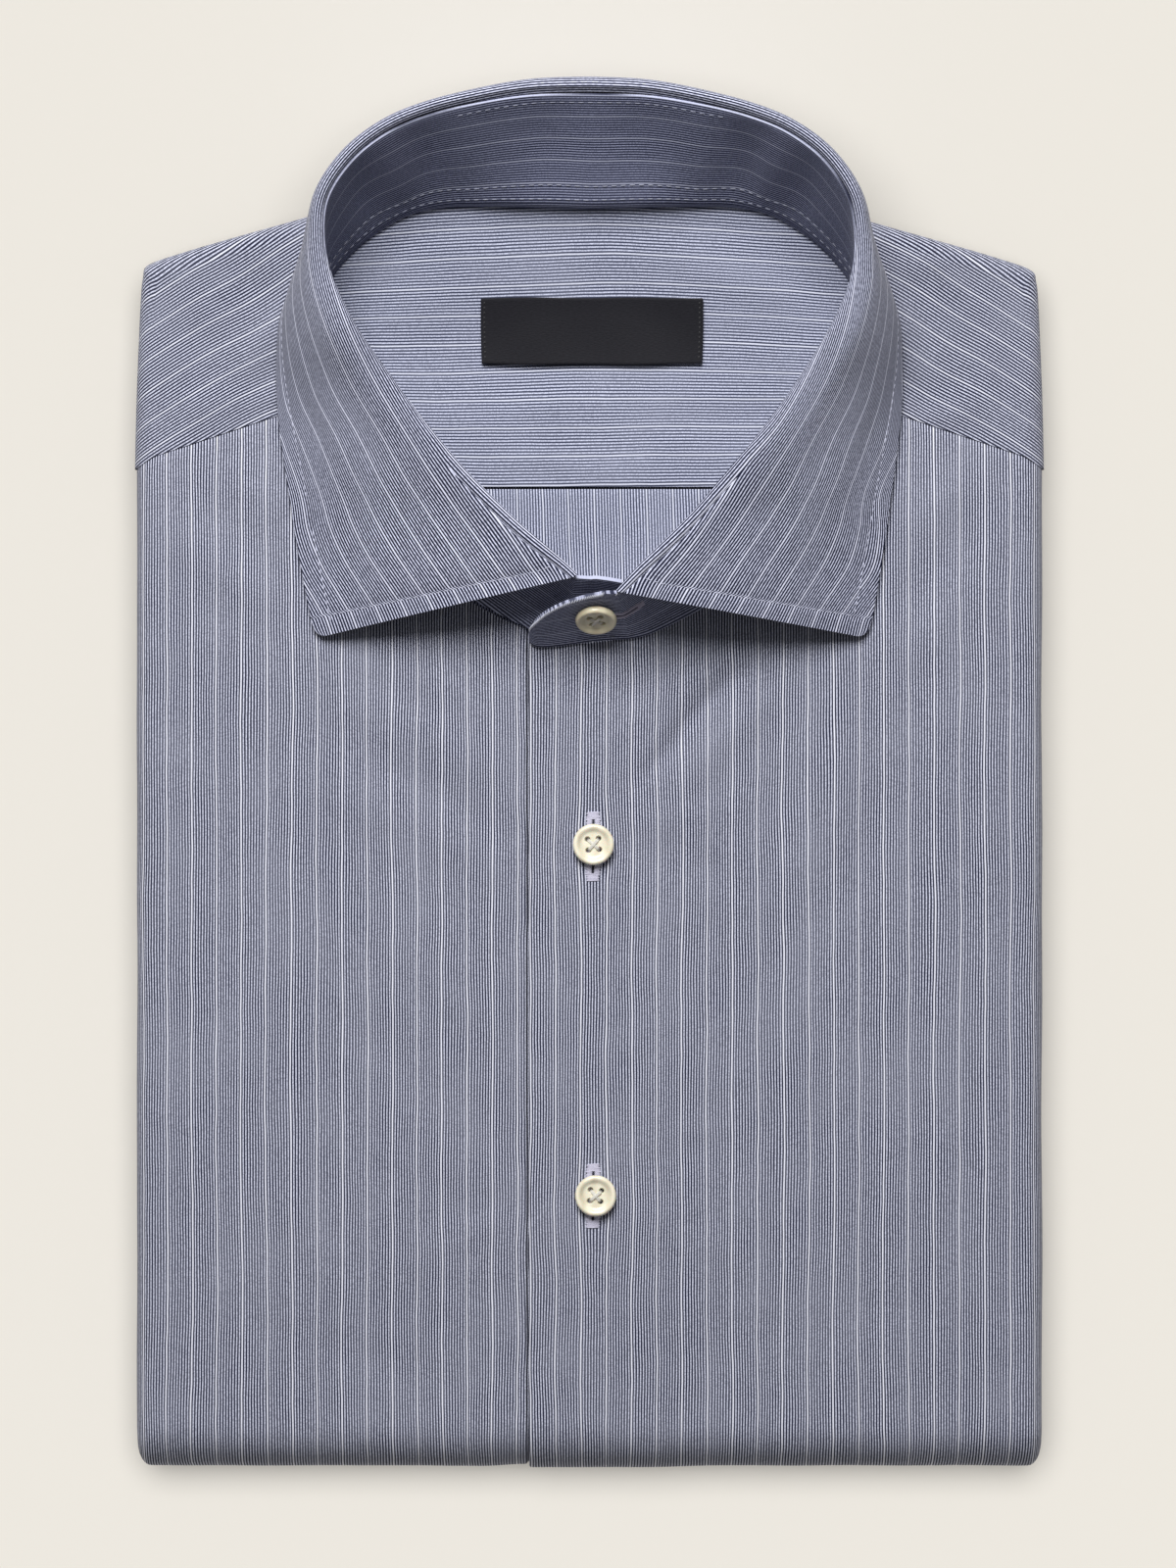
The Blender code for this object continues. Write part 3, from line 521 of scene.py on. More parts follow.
# the placket's edge: back under the top layer, round the fold, and out on the face
FOLD_DOWN = 1.14
placket_edge = [(PLACKET_EDGE_X + d, FOLD_DOWN) for d in (9.0, 6.0, 3.0, 1.2)]
for a in steps(0.0, pi, 6)[:-1]:
    round_edge = (PLACKET_EDGE_X + FOLD_DOWN / 2 * (1 - sin(a)), FOLD_DOWN / 2 * (1 + cos(a)))
    placket_edge.append(round_edge)
grid, cut = front_grid(
    1,
    PLACKET_EDGE_X + FOLD_DOWN / 2,
    placket_edge,
    raise_placket,
    lambda x: 0.0,
    lambda x: 0.0,
)
front_left = lay_cloth("front_left_cloth", grid, cut, shirting, thick=TOP_CLOTH)
grid, cut = front_grid(
    -1,
    -UNDERLAP_X,
    [],
    sink_underlap,
    sink_tail,
    lambda x: 2.0 * (1 - ease(-x, 9, 24)),
)
front_right = lay_cloth("front_right_cloth", grid, cut, shirting)
for piece, node in ((front_left, "front_left"), (front_right, "front_right")):
    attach(piece, "root")
    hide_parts(node)

# ---------------------------------------------------------------------------------------------
# The inside, seen through the neck: the yoke's inside layer with its stripes across, and below
# the seam the back with its stripes lengthwise. Both lie loose on the layers underneath.

YOKE_SEAM_BACK_Y = 79.3
INNER_LAYER, NECK_DIP = 1.75, 2.2
NECK_CENTRE_Y, NECK_HALF_X, NECK_HALF_Y = 97.0, 72.0, 60.0
INSIDE_SHORT, YOKE_SHORT, BACK_SHORT = 8.0, 7.5, 22.0
INSIDE_RUMPLE, INSIDE_COLUMNS, YOKE_ROWS, BACK_ROWS = 0.28, 112, 60, 90
INNER_YOKE_AT, INNER_YOKE_PITCH = 135.2, 7.88  # a wide stripe's Y, and the next one's distance
BACK_AT, BACK_PITCH, BACK_SLANT = 5.9, 7.18, 0.03  # the same for the back, which lies askew
INSIDE_CREASES = (
    # x0, y0, x1, y1, half_width, rise
    (-62, 118, -22, 112, 5, -0.35),
    (20, 140, 60, 132, 4.5, 0.35),
    (-44, 96, 6, 101, 6, 0.40),
    (14, 94, 56, 103, 5, -0.35),
    (-30, 86, 20, 84.5, 3.5, 0.32),
    (-58, 142, -26, 150, 4.5, 0.40),
    (-12, 74, -16, 48, 4, 0.35),
    (10, 72, 5, 52, 3.6, -0.32),
    (-30, 72, -24, 58, 3.5, -0.30),
)
YOKE = (
    # station, outline_x, outline_y
    (6.75, 126.2, 84.2),
    (7.1, 126, 96),
    (7.5, 125.7, 108),
    (7.9, 125.3, 119),
    (8.3, 124.8, 130.5),
    (8.7, 124.2, 137),
    (9.1, 122.6, 140.6),
    (9.5, 113, 144),
    (9.9, 99.5, 147.9),
    (10.4, 86, 151.6),
    (11, 73, 155.1),
    (11.8, 58.5, 158.4),
    (12.8, 44, 161.2),
    (14, 29, 162.8),
    (16, 0, 163.8),
)
YOKE_CORNER = 6


def shoulder_y(x):
    """Y of the shoulder fold, which is the package's outline behind."""
    return on_line([row[1:] for row in YOKE[: YOKE_CORNER - 1 : -1]], abs(x))


def inside_height(x, y):
    """Height of the inside pieces' face: below the fronts, and deeper inside the neck."""
    middle = hypot(x / NECK_HALF_X, (y - NECK_CENTRE_Y) / NECK_HALF_Y)
    dip = NECK_DIP * ease(1 - middle, 0.02, 0.5)
    closure = UNDERLAP_SINK * (1 - ease(abs(x), CLOSURE_HALF - 5, CLOSURE_FADE))
    return face_height(x, y) - INNER_LAYER - closure - dip


neck_round = []
for k in range(0, 65):
    seam_x, seam_y = along(COLLAR, k / 4)[:2]
    neck_round.append((atan2(seam_x, seam_y - 100), hypot(seam_x, seam_y - 100)))
neck_round.sort()


def inside_neck(x, y):
    """Distance in from the neck seam; it is below 0 outside."""
    return on_line(neck_round, atan2(abs(x), y - 100)) - hypot(x, y - 100)


def spread_inside(name, bottom, top_of, count, cut_of, seed):
    grid, cut = [], []
    for k in range(count + 1):
        row = []
        for x in steps(HALF_WIDTH - INSIDE_SHORT, INSIDE_SHORT - HALF_WIDTH, INSIDE_COLUMNS):
            y = mix(top_of(x), bottom, k / count)
            inward = inside_neck(x, y)
            rise = creased(INSIDE_CREASES, x, y) + INSIDE_RUMPLE * rumpled(x, y, 15, seed)
            rise *= ease(inward, 2.0, 14.0)
            # its edge comes up towards the neck seam
            near = ease(y, 96, 108) * (1 - ease(inward, 0.0, 9.0))
            rise += (0.7 + face_height(x, y) - INNER_LAYER - inside_height(x, y)) * near
            row.append((x, y, inside_height(x, y) + rise))
        grid.append(row)
        cut.append([cut_of(x, y) for x, y, _ in row])
    return lay_cloth(name, grid, cut, inside_cotton_painted_light)


# the inside's cloth: its hairlines are drawn thinner, and it is lifted lighter as painted light
# against the shade inside the neck
inside_cotton_painted_light = striped_cotton(
    "striped_cotton_inside_painted_light",
    (0.034, 0.040, 0.075),
    (0.56, 0.585, 0.73),
    (0.62, 0.64, 0.75),
    wobble=0.7,
    hairline_at=(-0.50, 0.70),
    wide_at=(0.08, 0.26),
)


def across_the_yoke(x, y):
    """The inside yoke's stripes run across, and bow up in the middle near the stand."""
    bow = 1.5 * (x / 54) ** 2 * ease(y, 84, 145) + 0.5 * sin(x / 19 + y / 30)
    return ((y + bow - INNER_YOKE_AT) * STRIPE / INNER_YOKE_PITCH, x)


yoke_inner = spread_inside(
    "yoke_inner_cloth",
    YOKE_SEAM_BACK_Y + 0.05,
    lambda x: shoulder_y(x) - YOKE_SHORT + 4.5 * (1 - ease(abs(x), 40, 70)),
    YOKE_ROWS,
    across_the_yoke,
    7.0,
)
back = spread_inside(
    "back_cloth",
    FOLD_Y + BACK_SHORT,
    lambda x: YOKE_SEAM_BACK_Y - 0.55,
    BACK_ROWS,
    lambda x, y: ((x + BACK_AT + BACK_SLANT * (y - 79)) * STRIPE / BACK_PITCH, y),
    9.0,
)
for piece, node in ((yoke_inner, "yoke_inner"), (back, "back")):
    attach(piece, "root")
    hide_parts(node)

# ---------------------------------------------------------------------------------------------
# The yoke's outside layer: one piece over both shoulders. It meets the fronts at a plain seam,
# and rolls over the shoulder folds and the sides to be turned in between the layers.

SHOULDER_CREASES = (
    # x0, y0, x1, y1, half_width, rise
    (-97, 104, -79, 118, 3.4, -0.70),
    (-102, 110, -78, 128, 4.6, 0.85),
    (-112, 98, -84, 108, 5, 0.55),
    (-96, 92, -80, 104, 3.6, -0.50),
    (-104, 128, -82, 138, 4.6, -0.25),
    (-116, 118, -100, 124, 5, -0.40),
    (84, 132, 96, 106, 4.2, 0.80),
    (80, 124, 92, 100, 3.4, -0.70),
    (94, 136, 108, 112, 5, -0.50),
    (112, 104, 86, 94, 4.2, 0.50),
    (100, 140, 84, 144, 4.5, 0.45),
)
# The slope of the stripes on each shoulder, and one wide stripe's place at the side's middle.
SHOULDER_SLOPE, SHOULDER_PITCH, SHOULDER_AT = 29.5, 7.5, (103.6, 134.4)
SHOULDER_UNEVEN, SHOULDER_RUMPLE = 0.7, 0.25


def outline_inset(index, depth):
    """The package's outline at a station, brought in by depth, keeping the corner square."""
    corner_x, corner_y = YOKE[YOKE_CORNER][1:]
    _, x, y = along(YOKE, index)
    seam_y = YOKE[0][2]
    if index < YOKE_CORNER:
        share = (y - seam_y) / (corner_y - seam_y)
        return x - depth, mix(YOKE_SEAM_SIDE[1], corner_y - depth, share)
    return x * (corner_x - depth) / corner_x, y - depth


def shoulder_cut(x, y, side):
    """Where a point of the flattened shoulder lies across the stripes."""
    slope = radians(SHOULDER_SLOPE)
    at_x, at_y = SHOULDER_AT
    bend = 0.003 * max(0.0, x - 106) ** 2 + 0.008 * max(0.0, 92 - x) ** 2 * ease(y, 140, 110)
    bend += 0.7 * sin((y - x) / 13 + side) * ease(x, 112, 92)
    u = (y - at_y) * cos(slope) + (x - at_x) * sin(slope) + bend
    return u * STRIPE / SHOULDER_PITCH, x * cos(slope) - y * sin(slope)


def yoke_station(index, side):
    place, out_x, out_y = along(YOKE, index)
    seam_x, seam_y = along(COLLAR, place)[:2]
    if index < 1:
        seam_x = mix(YOKE_SEAM_NECK[0], along(COLLAR, 7.1)[0], index)
        seam_y = mix(YOKE_SEAM_NECK[1], along(COLLAR, 7.1)[1], index)
    out_y -= SHOULDER_UNEVEN * side * ease(index, 4, 6)  # one side is folded a little higher
    turn = min(SIDE_ROUND_TOP, (face_height(out_x, out_y) - TUCK_TOP) / 2 + 1)
    turn = mix(turn, 4.0, ease(index, 0.5, 3.0))
    start_x, start_y = outline_inset(index, turn)
    start_y += out_y - along(YOKE, index)[2]
    row, flat = [], []
    for share in steps(0.015, 1.0, 44):
        x, y = mix(seam_x, start_x, share), mix(seam_y, start_y, share)
        calm = (1 - ease(share, 0.86, 1.0)) * ease(index, 0.0, 0.5)
        rise = creased(SHOULDER_CREASES, side * x, y)
        rise += SHOULDER_RUMPLE * rumpled(side * x, y, 16, 4.0)
        row.append((side * x, y, face_height(x, y) + rise * calm))
        flat.append((x, y))
    top = face_height(start_x, start_y)
    aim = Vector((out_x - start_x, out_y - start_y)).normalized()
    for a in steps(0.0, pi, ROUND_COLUMNS)[1:]:
        x, y = mix(start_x, out_x, sin(a)), mix(start_y, out_y, sin(a))
        row.append((side * x, y, mix(top, TUCK_TOP, (1 - cos(a)) / 2)))
        flat.append((start_x + aim.x * turn * a, start_y + aim.y * turn * a))
    for k in range(1, TUCK_COLUMNS + 1):
        tucked = TUCK_LENGTH * k / TUCK_COLUMNS
        x, y = outline_inset(index, turn + tucked)
        y += out_y - along(YOKE, index)[2]
        row.append((side * x, y, TUCK_TOP))
        over = turn * pi + tucked
        flat.append((start_x + aim.x * over, start_y + aim.y * over))
    return row, [shoulder_cut(x, y, side) for x, y in flat]


places = steps(0.0, 5.0, 40) + steps(5.0, 8.0, 42)[1:] + steps(8.0, 14.0, 48)[1:]
stations = [yoke_station(i, 1) for i in places]
stations += [yoke_station(i, -1) for i in places[-2::-1]]
yoke_cotton = striped_cotton(
    "striped_cotton_yoke",
    (0.009, 0.011, 0.031),
    (0.58, 0.60, 0.73),
    (0.64, 0.655, 0.75),
    wobble=0.55,
    hairline_at=(-0.28, 0.86),
    wide_at=(0.08, 0.24),
)
yoke_outer = lay_cloth(
    "yoke_outer_cloth", [row for row, _ in stations], [flat for _, flat in stations], yoke_cotton
)
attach(yoke_outer, "root")
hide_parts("yoke_outer")

# ---------------------------------------------------------------------------------------------
# The collar stand: a firm band of two layers with a stiffener between, sewn round the neck. Its
# two ends overlap in front, and the upper one is rounded and carries the buttonhole.

CLOSURE_SHIFT, SHIFT_STATIONS = 1.9, 7.0
CLOSURE_STEP = (2.0, -2.3)  # how much higher each side's leaf starts at the closure
STAND_CLEAR, STAND_SAG, BACK_SAG = 1.3, 0.13, 0.05
STAND_THICK, LEAF_CLEAR = 1.1, 2.3
BEHIND = 16.0  # the station at the middle of the back
UP_STAND = 16  # steps from its seam to its top
TAB_STRIPE = 5.4  # a wide stripe's distance from the lower edge of the buttoned end
# The pressed collar isn't even: how far out each side's fold lies from the middle curve.
FOLD_LEAN = (
    # wearer's right, wearer's left
    (0, 0),
    (0.3, 1.2),
    (0.6, 2.6),
    (0.4, 2.1),
    (-0.6, 1.3),
    (-1.4, 0.9),
    (-1.6, 0.7),
    (-0.9, 0.8),
    (-0.3, 0.6),
    (-0.6, -0.9),
    (-1.3, -1.9),
    (-1.8, -2.3),
    (-2, -2.5),
    (-2.1, -2.6),
    (-2.1, -2.5),
    (-2.1, -2.3),
    (-2.1, -2.1),
)
STAND_CREASES = (
    # side, place, half_width, rise
    (-1, 10.9, 0.50, 0.85),
    (-1, 11.9, 0.50, -1.45),
    (-1, 13.6, 0.60, -0.75),
    (-1, 15.2, 0.45, 0.85),
    (1, 11.2, 0.50, 0.85),
    (1, 12.1, 0.45, -1.45),
    (1, 12.9, 0.45, 0.85),
    (1, 13.9, 0.40, -0.80),
    (1, 15, 0.50, 0.75),
)
STAND_TAB = (
    # seam_x, seam_y, top_x, top_y, stand
    (9, 37.5, 5.5, 51.5, 24),
    (5.5, 37.2, 3.5, 49.2, 22.5),
    (0, 36.7, -0.6, 48.3, 21.8),
    (-6.5, 35.8, -6.8, 46.4, 20.5),
    (-11, 35.3, -11.9, 43.9, 17),
    (-14.4, 35.3, -15.1, 41.3, 12),
    (-16.2, 36.4, -16.4, 39.4, 5.5),
)
STAND_UNDERLAP = (
    (-9, 37.5, -5.5, 51.5, 24),
    (-2.5, 38.5, 0.4, 53.3, 23.6),
    (3.5, 38.3, 4.4, 53.1, 23.2),
    (9.5, 38.4, 8.8, 52.4, 22),
)


def collar_station(place, side):
    """Seam, stand-top and leaf-edge points of one side of the collar, and the way outward."""
    seam_x, seam_y, top_x, top_y, stand, edge_x, edge_y, hang = along(COLLAR, place)
    ahead_x, ahead_y = along(COLLAR, max(0.0, place - 0.3))[2:4]
    behind_x, behind_y = along(COLLAR, min(BEHIND, place + 0.3))[2:4]
    outward = Vector((side * (behind_y - ahead_y), ahead_x - behind_x, 0)).normalized()
    if place >= BEHIND:
        outward = Vector((0, 1, 0))
    move = CLOSURE_SHIFT * (1 - ease(place, 0, SHIFT_STATIONS))
    raised = PLACKET_RAISE * (1 - ease(seam_x, UNDERLAP_X, CLOSURE_FADE - 10))
    base = face_height(seam_x, seam_y) + STAND_CLEAR + raised
    seam = Vector((side * seam_x + move, seam_y, base))
    top = Vector((side * top_x + move, top_y, base))
    top.y += CLOSURE_STEP[(side + 1) // 2] * (1 - ease(place, 0.0, 2.2))
    top += outward * along(FOLD_LEAN, place)[(side + 1) // 2]
    top.z += sqrt(stand**2 - (top - seam).length_squared)
    rest = face_height(edge_x, edge_y) + LEAF_CLEAR
    edge = Vector((side * edge_x + move * 0.3, edge_y, rest - hang))
    return seam, top, edge, outward


def sag_at(place):
    """The share of its lean by which the stand hollows, at the closure and a little behind."""
    return STAND_SAG * (1 - ease(place, 1, 4)) + BACK_SAG * ease(place, 9, 12)


def stand_row(seam, top, sag=0.0):
    """Points up the stand; sag, a share of its lean, makes it hollow across."""
    rise = top - seam
    low = Vector((0, 0, -sag * hypot(rise.x, rise.y)))
    return [seam + rise * s + low * (4 * s * (1 - s)) for s in steps(0.0, 1.0, UP_STAND)]


def end_row(table, place, base):
    seam_x, seam_y, top_x, top_y, stand = along(table, place)
    lean = min(stand, hypot(top_x - seam_x, top_y - seam_y))
    seam = Vector((seam_x, seam_y, base))
    return stand_row(seam, Vector((top_x, top_y, base + sqrt(stand**2 - lean**2))), STAND_SAG)


neck_face = face_height(0, NECK_FRONT_Y)
over, under = neck_face + PLACKET_RAISE + STAND_CLEAR, neck_face - UNDERLAP_SINK + STAND_CLEAR
stand = [end_row(STAND_UNDERLAP, p, under) for p in steps(3.0, 1.0, 16)]
stand_start = len(stand)
collar_places = steps(0.0, BEHIND, 144)
ring = [(place, -1) for place in collar_places] + [(place, 1) for place in collar_places[-2::-1]]
for place, side in ring:
    seam, top, _, outward = collar_station(place, side)
    push = 0.0
    for crease_side, at, half_width, rise in STAND_CREASES:
        if crease_side == side:
            push += rise * exp(-(((place - at) / half_width) ** 2))
    row = stand_row(seam, top, sag_at(place))
    stand.append([p + outward * (push * sin(pi * k / UP_STAND)) for k, p in enumerate(row)])
stand_end = len(stand)
stand += [end_row(STAND_TAB, p, over) for p in steps(1.0, 6.0, 44)]
lengths = distances([row[UP_STAND // 2] for row in stand])
stand_grid, stand_cut = [], []
for r, row in enumerate(stand):
    place = ring[r - stand_start][0] if stand_start <= r < stand_end else 0.0
    # its lower edge turns down to the cloth it is sewn to
    turned_down = mix(0.4, 2.1, ease(place, 1, 3))
    tab_end = r > stand_end - 60
    inward = Vector((-row[0].x, NECK_CENTRE_Y - row[0].y, 0)).normalized() * 0.6
    edge = [row[0] + inward * s - Vector((0, 0, turned_down * s)) for s in (1.0, 0.5)]
    stand_grid.append(edge + row)
    heights = distances(stand_grid[-1])
    # a wide stripe runs along the top edge, and on the buttoned end near the lower one
    wide_from = heights[-1] - heights[2] - 0.15
    if tab_end:
        wide_from = mix(TAB_STRIPE + 3 * STRIPE, wide_from, ease(place, 1, 5))
    stand_cut.append([(h - heights[2] - wide_from, lengths[r]) for h in heights])
# Both faces of the band are darker copies of the shirting: painted shade, for a band that stands
# steep and faces away from the light. Its inside face is darker still.
band_inside_painted_shade = striped_cotton(
    "striped_cotton_band_inside_painted_shade",
    (0.015, 0.018, 0.046),
    (0.35, 0.37, 0.52),
    (0.43, 0.45, 0.58),
    wobble=0.5,
    wide_at=(0.10, 0.27),
)
# the outside face: painted shade, darker than the same shirting on the fronts
band_outside_painted_shade = striped_cotton(
    "striped_cotton_band_outside_painted_shade",
    (0.015, 0.018, 0.044),
    (0.46, 0.48, 0.64),
    (0.46, 0.48, 0.62),
    wobble=0.4,
    wide_at=(0.10, 0.27),
)
# the band wears its painted-shade cloth outside and in
collar_stand = lay_cloth(
    "collar_stand_cloth",
    stand_grid,
    stand_cut,
    band_outside_painted_shade,
    thick=STAND_THICK,
    offset=0.0,
    lining=band_inside_painted_shade,
)
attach(collar_stand, "root")
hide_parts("collar_stand")

# ---------------------------------------------------------------------------------------------
# The collar leaf: two layers and a stiffener, turned and pressed, sewn to the top of the stand
# and folded over it. A row of stitches runs inside its edges, and its points are kept long.

LEAF_THICK = 1.3
FOLD_FLAT, FOLD_TIGHT = 7.0, 3.8  # the fold's reach outward, in front and behind
LEAF_MARGIN, FRONT_MARGIN = 5.6, 0.93  # stitch row from the outer edge, in mm; from the front
TIP_ROUND = 3.0
# How far out from the fold the first, third and fifth wide stripes cross the leaf.
LEAF_STRIPES = (
    # wearer's right, then wearer's left
    (10.7, 26.7, 42.3, 11.4, 27.6, 43),
    (8.2, 24.1, 39.5, 8.8, 25.1, 40.1),
    (4.1, 20.1, 35.6, 5.6, 20.9, 36.4),
    (1.4, 16.7, 31.4, 3.7, 18.5, 32.3),
    (-0.5, 14.1, 27.5, 2, 16.1, 27.9),
    (-2.4, 10.6, 23.7, 0.2, 11.8, 24.5),
    (-4, 9.1, 22.4, -1.3, 9.7, 21.4),
    (-6, 6.3, 20.3, -4, 6.5, 18),
    (-6.6, 5.3, 18.6, -5.8, 5, 16.8),
    (-6.9, 6, 19.4, -6.6, 6, 18.8),
    (-7, 6.6, 20.4, -7, 6.6, 20.4),
    (-7, 6.8, 20.7, -7, 6.8, 20.7),
    *((-7, 6.9, 20.8, -7, 6.9, 20.8),) * 5,
)
LEAF_COLUMNS = [0.0]
for part, count in enumerate((2, 4, 14, 12, 14, 20)):
    LEAF_COLUMNS += steps(part, part + 1, count)[1:]
AT_FOLD, STITCHED_FROM = LEAF_COLUMNS.index(3.0), LEAF_COLUMNS.index(2.5)
STATION_LENGTH = 6.6  # mm of cut cloth from one station to the next
# The rows of stitches and the seam inside the fold each draw the leaf in a little.
STITCH_PRESS, SEAM_PRESS, MARGIN_SHIFT = -0.20, -0.5, 0.55
# In front the band's own edge shows for a little way inside the leaf's fold.
BAND_SHOWS, BAND_SHOWS_TO = -5.2, 4.0  # mm from the fold; the last station
LEAF_CREASES = (
    # side, place, share, along, across, rise
    (-1, 4.6, 0.45, 0.9, 0.16, 0.55),
    (-1, 5.4, 0.62, 0.8, 0.14, -0.45),
    (-1, 2.2, 0.60, 1.1, 0.18, 0.35),
    (1, 4.2, 0.50, 0.9, 0.16, 0.55),
    (1, 5.2, 0.66, 0.9, 0.15, -0.45),
    (1, 2.6, 0.42, 1.2, 0.18, 0.40),
    (-1, 9.5, 0.55, 0.9, 0.20, 0.40),
    (1, 10.4, 0.60, 0.9, 0.20, -0.40),
    (-1, 14, 0.60, 1.2, 0.22, 0.45),
    (1, 13.2, 0.45, 1, 0.20, 0.40),
)


def leaf_line(place, side):
    """Seven points of the leaf's section: up off the stand, over the fold, down to the edge."""
    seam, top, edge, outward = collar_station(place, side)
    lean = hypot(top.x - seam.x, top.y - seam.y)
    up = (top - seam + Vector((0, 0, 4 * sag_at(place) * lean))).normalized()
    tight = ease(place, 6.8, 9.4)
    front_edge = Vector((edge.x - top.x, edge.y - top.y, 0)).normalized()
    outward = front_edge.lerp(outward, ease(place, 0.0, 2.0)).normalized()
    reach = mix(FOLD_FLAT, FOLD_TIGHT + 0.9 * ease(place, 13, 16), tight)
    crest = top + outward * mix(0.9, 2.2, tight) + Vector((0, 0, mix(2.5, 1.9, tight)))
    fold = top + outward * reach + Vector((0, 0, mix(1.0, -0.8, tight)))
    belly = mix(2.2, 0.8, tight)
    reach = edge - fold
    flat_reach = hypot(reach.x, reach.y)
    points = [top + up * 0.5, top + up * 1.6, crest, fold]
    for share in (0.3, 0.62):
        bulge = belly * 4 * share * (1 - share)
        lift = Vector((0, 0, bulge * flat_reach / reach.length))
        points.append(
            fold + reach * share + lift + outward * (bulge * abs(reach.z) / reach.length)
        )
    points.append(edge)
    return [tuple(p) for p in points]


def leaf_row(place, side):
    """Points and cut of one row; the two layers swell a little inside the stitching."""
    section = leaf_line(place, side)
    row = [Vector(along(section, c)) for c in LEAF_COLUMNS]
    lengths = distances(row)
    total, fold_at = lengths[-1], lengths[AT_FOLD]
    outside_front = 1 - ease(place, FRONT_MARGIN - 0.04, FRONT_MARGIN + 0.04)
    cut = []
    for length in lengths:
        share = (length - fold_at) / (total - fold_at)
        out = length - fold_at
        station = max(place, BAND_SHOWS_TO) if out < BAND_SHOWS else place
        first, third, fifth = along(LEAF_STRIPES, station)[0 if side < 0 else 3 :][:3]
        slope = 2 / (third - first)
        bend = (2 / (fifth - third) - slope) / (fifth - first)
        near = min(max(out, first), fifth)
        number = 1 + slope * (near - first) + bend * (near - first) * (near - third)
        number += (out - near) * (slope + bend * (2 * near - first - third))
        u = number * STRIPE
        # the margin outside the front stitching shifts against the rest
        u += MARGIN_SHIFT * outside_front * ease(share, 0, 0.1)
        cut.append((u, place * STATION_LENGTH))
    rounded = []
    for k, (point, length) in enumerate(zip(row, lengths)):
        ahead = row[min(k + 1, len(row) - 1)] - row[max(k - 1, 0)]
        share = (length - fold_at) / (total - fold_at)
        seam_near = exp(-(((length - fold_at - BAND_SHOWS) / 0.5) ** 2))
        press = SEAM_PRESS * seam_near * (1 - ease(place, BAND_SHOWS_TO - 1, BAND_SHOWS_TO))
        if share > 0.02:
            edge_near = exp(-(((total - length - LEAF_MARGIN) / 1.1) ** 2)) * ease(place, 0.5, 0.8)
            front_near = exp(-(((place - FRONT_MARGIN) / 0.16) ** 2))
            front_near *= 1 - ease(share, 1 - LEAF_MARGIN / (total - fold_at), 1.0)
            press = STITCH_PRESS * max(edge_near, front_near)
            inner = ease(place, 0.8, 1.6) * (1 - ease(share, 0.75, 0.93)) * ease(share, 0.1, 0.3)
            for crease_side, at, middle, reach, width, rise in LEAF_CREASES:
                if crease_side == side:
                    away = ((place - at) / reach) ** 2 + ((share - middle) / width) ** 2
                    press += rise * exp(-away) * inner
        side_run = Vector(along(leaf_line(min(place + 0.2, BEHIND), side), LEAF_COLUMNS[k]))
        side_run -= Vector(along(leaf_line(max(place - 0.2, 0.0), side), LEAF_COLUMNS[k]))
        normal = ahead.cross(side_run) * side
        if place >= 15.9:
            normal = ahead.cross(Vector((-1, 0, 0)))
        rounded.append(point + normal.normalized() * press)
    return rounded, cut


def round_tip(rows):
    """Round the corner of the leaf's point, on the first rows and last columns."""
    corner = rows[0][-1].copy()
    down_edge = (rows[6][-1] - corner).normalized()
    down_front = (rows[0][-8] - corner).normalized()
    for row in rows:
        for point in row:
            away = point - corner
            if away.length > 2.2 * TIP_ROUND:
                continue
            a, b = away.dot(down_edge), away.dot(down_front)
            if a < TIP_ROUND and b < TIP_ROUND:
                p, q = (TIP_ROUND - a) / TIP_ROUND, (TIP_ROUND - b) / TIP_ROUND
                p, q = max(0.0, min(1.0, p)), max(0.0, min(1.0, q))
                new_p, new_q = p * sqrt(1 - q * q / 2), q * sqrt(1 - p * p / 2)
                point += down_edge * (p - new_p) * TIP_ROUND
                point += down_front * (q - new_q) * TIP_ROUND


leaf_places = steps(0.0, 1.2, 16) + steps(1.2, BEHIND, 118)[1:]
leaf_halves = {}
for side in (-1, 1):
    halves = [leaf_row(p, side) for p in leaf_places]
    leaf_rows, leaf_cuts = [h[0] for h in halves], [h[1] for h in halves]
    round_tip(leaf_rows)
    leaf_halves[side] = (leaf_rows, leaf_cuts)
leaf_grid = leaf_halves[-1][0] + leaf_halves[1][0][-2::-1]
leaf_cut = leaf_halves[-1][1] + leaf_halves[1][1][-2::-1]
leaf_cotton = striped_cotton(
    "striped_cotton_leaf",
    (0.004, 0.006, 0.025),
    (0.68, 0.705, 0.88),
    (0.72, 0.74, 0.89),
    wobble=0.35,
    faint=-0.12,
    hairline_at=(-0.14, 0.93),
    wide_at=(0.10, 0.28),
    # painted light: the hairlines lose contrast on part of the leaf's sloping sides
    slope_painted_light=(16, 24, 38, 52, 60, 0.5),
)
collar_leaf = lay_cloth(
    "collar_leaf_cloth",
    [row[::-1] for row in leaf_grid],
    [row[::-1] for row in leaf_cut],
    leaf_cotton,
    thick=LEAF_THICK,
)
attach(collar_leaf, "root")
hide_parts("collar_leaf")

# ---------------------------------------------------------------------------------------------
# The neck label: a patch of black woven satin with its ends turned under, sewn to the inside
# yoke along both short ends. It is left bare.

LABEL_LEFT, LABEL_RIGHT, LABEL_FRONT, LABEL_BACK = -29.9, 31.3, 113.3, 131.4
LABEL_LIFT, LABEL_THICK = 1.5, 0.7


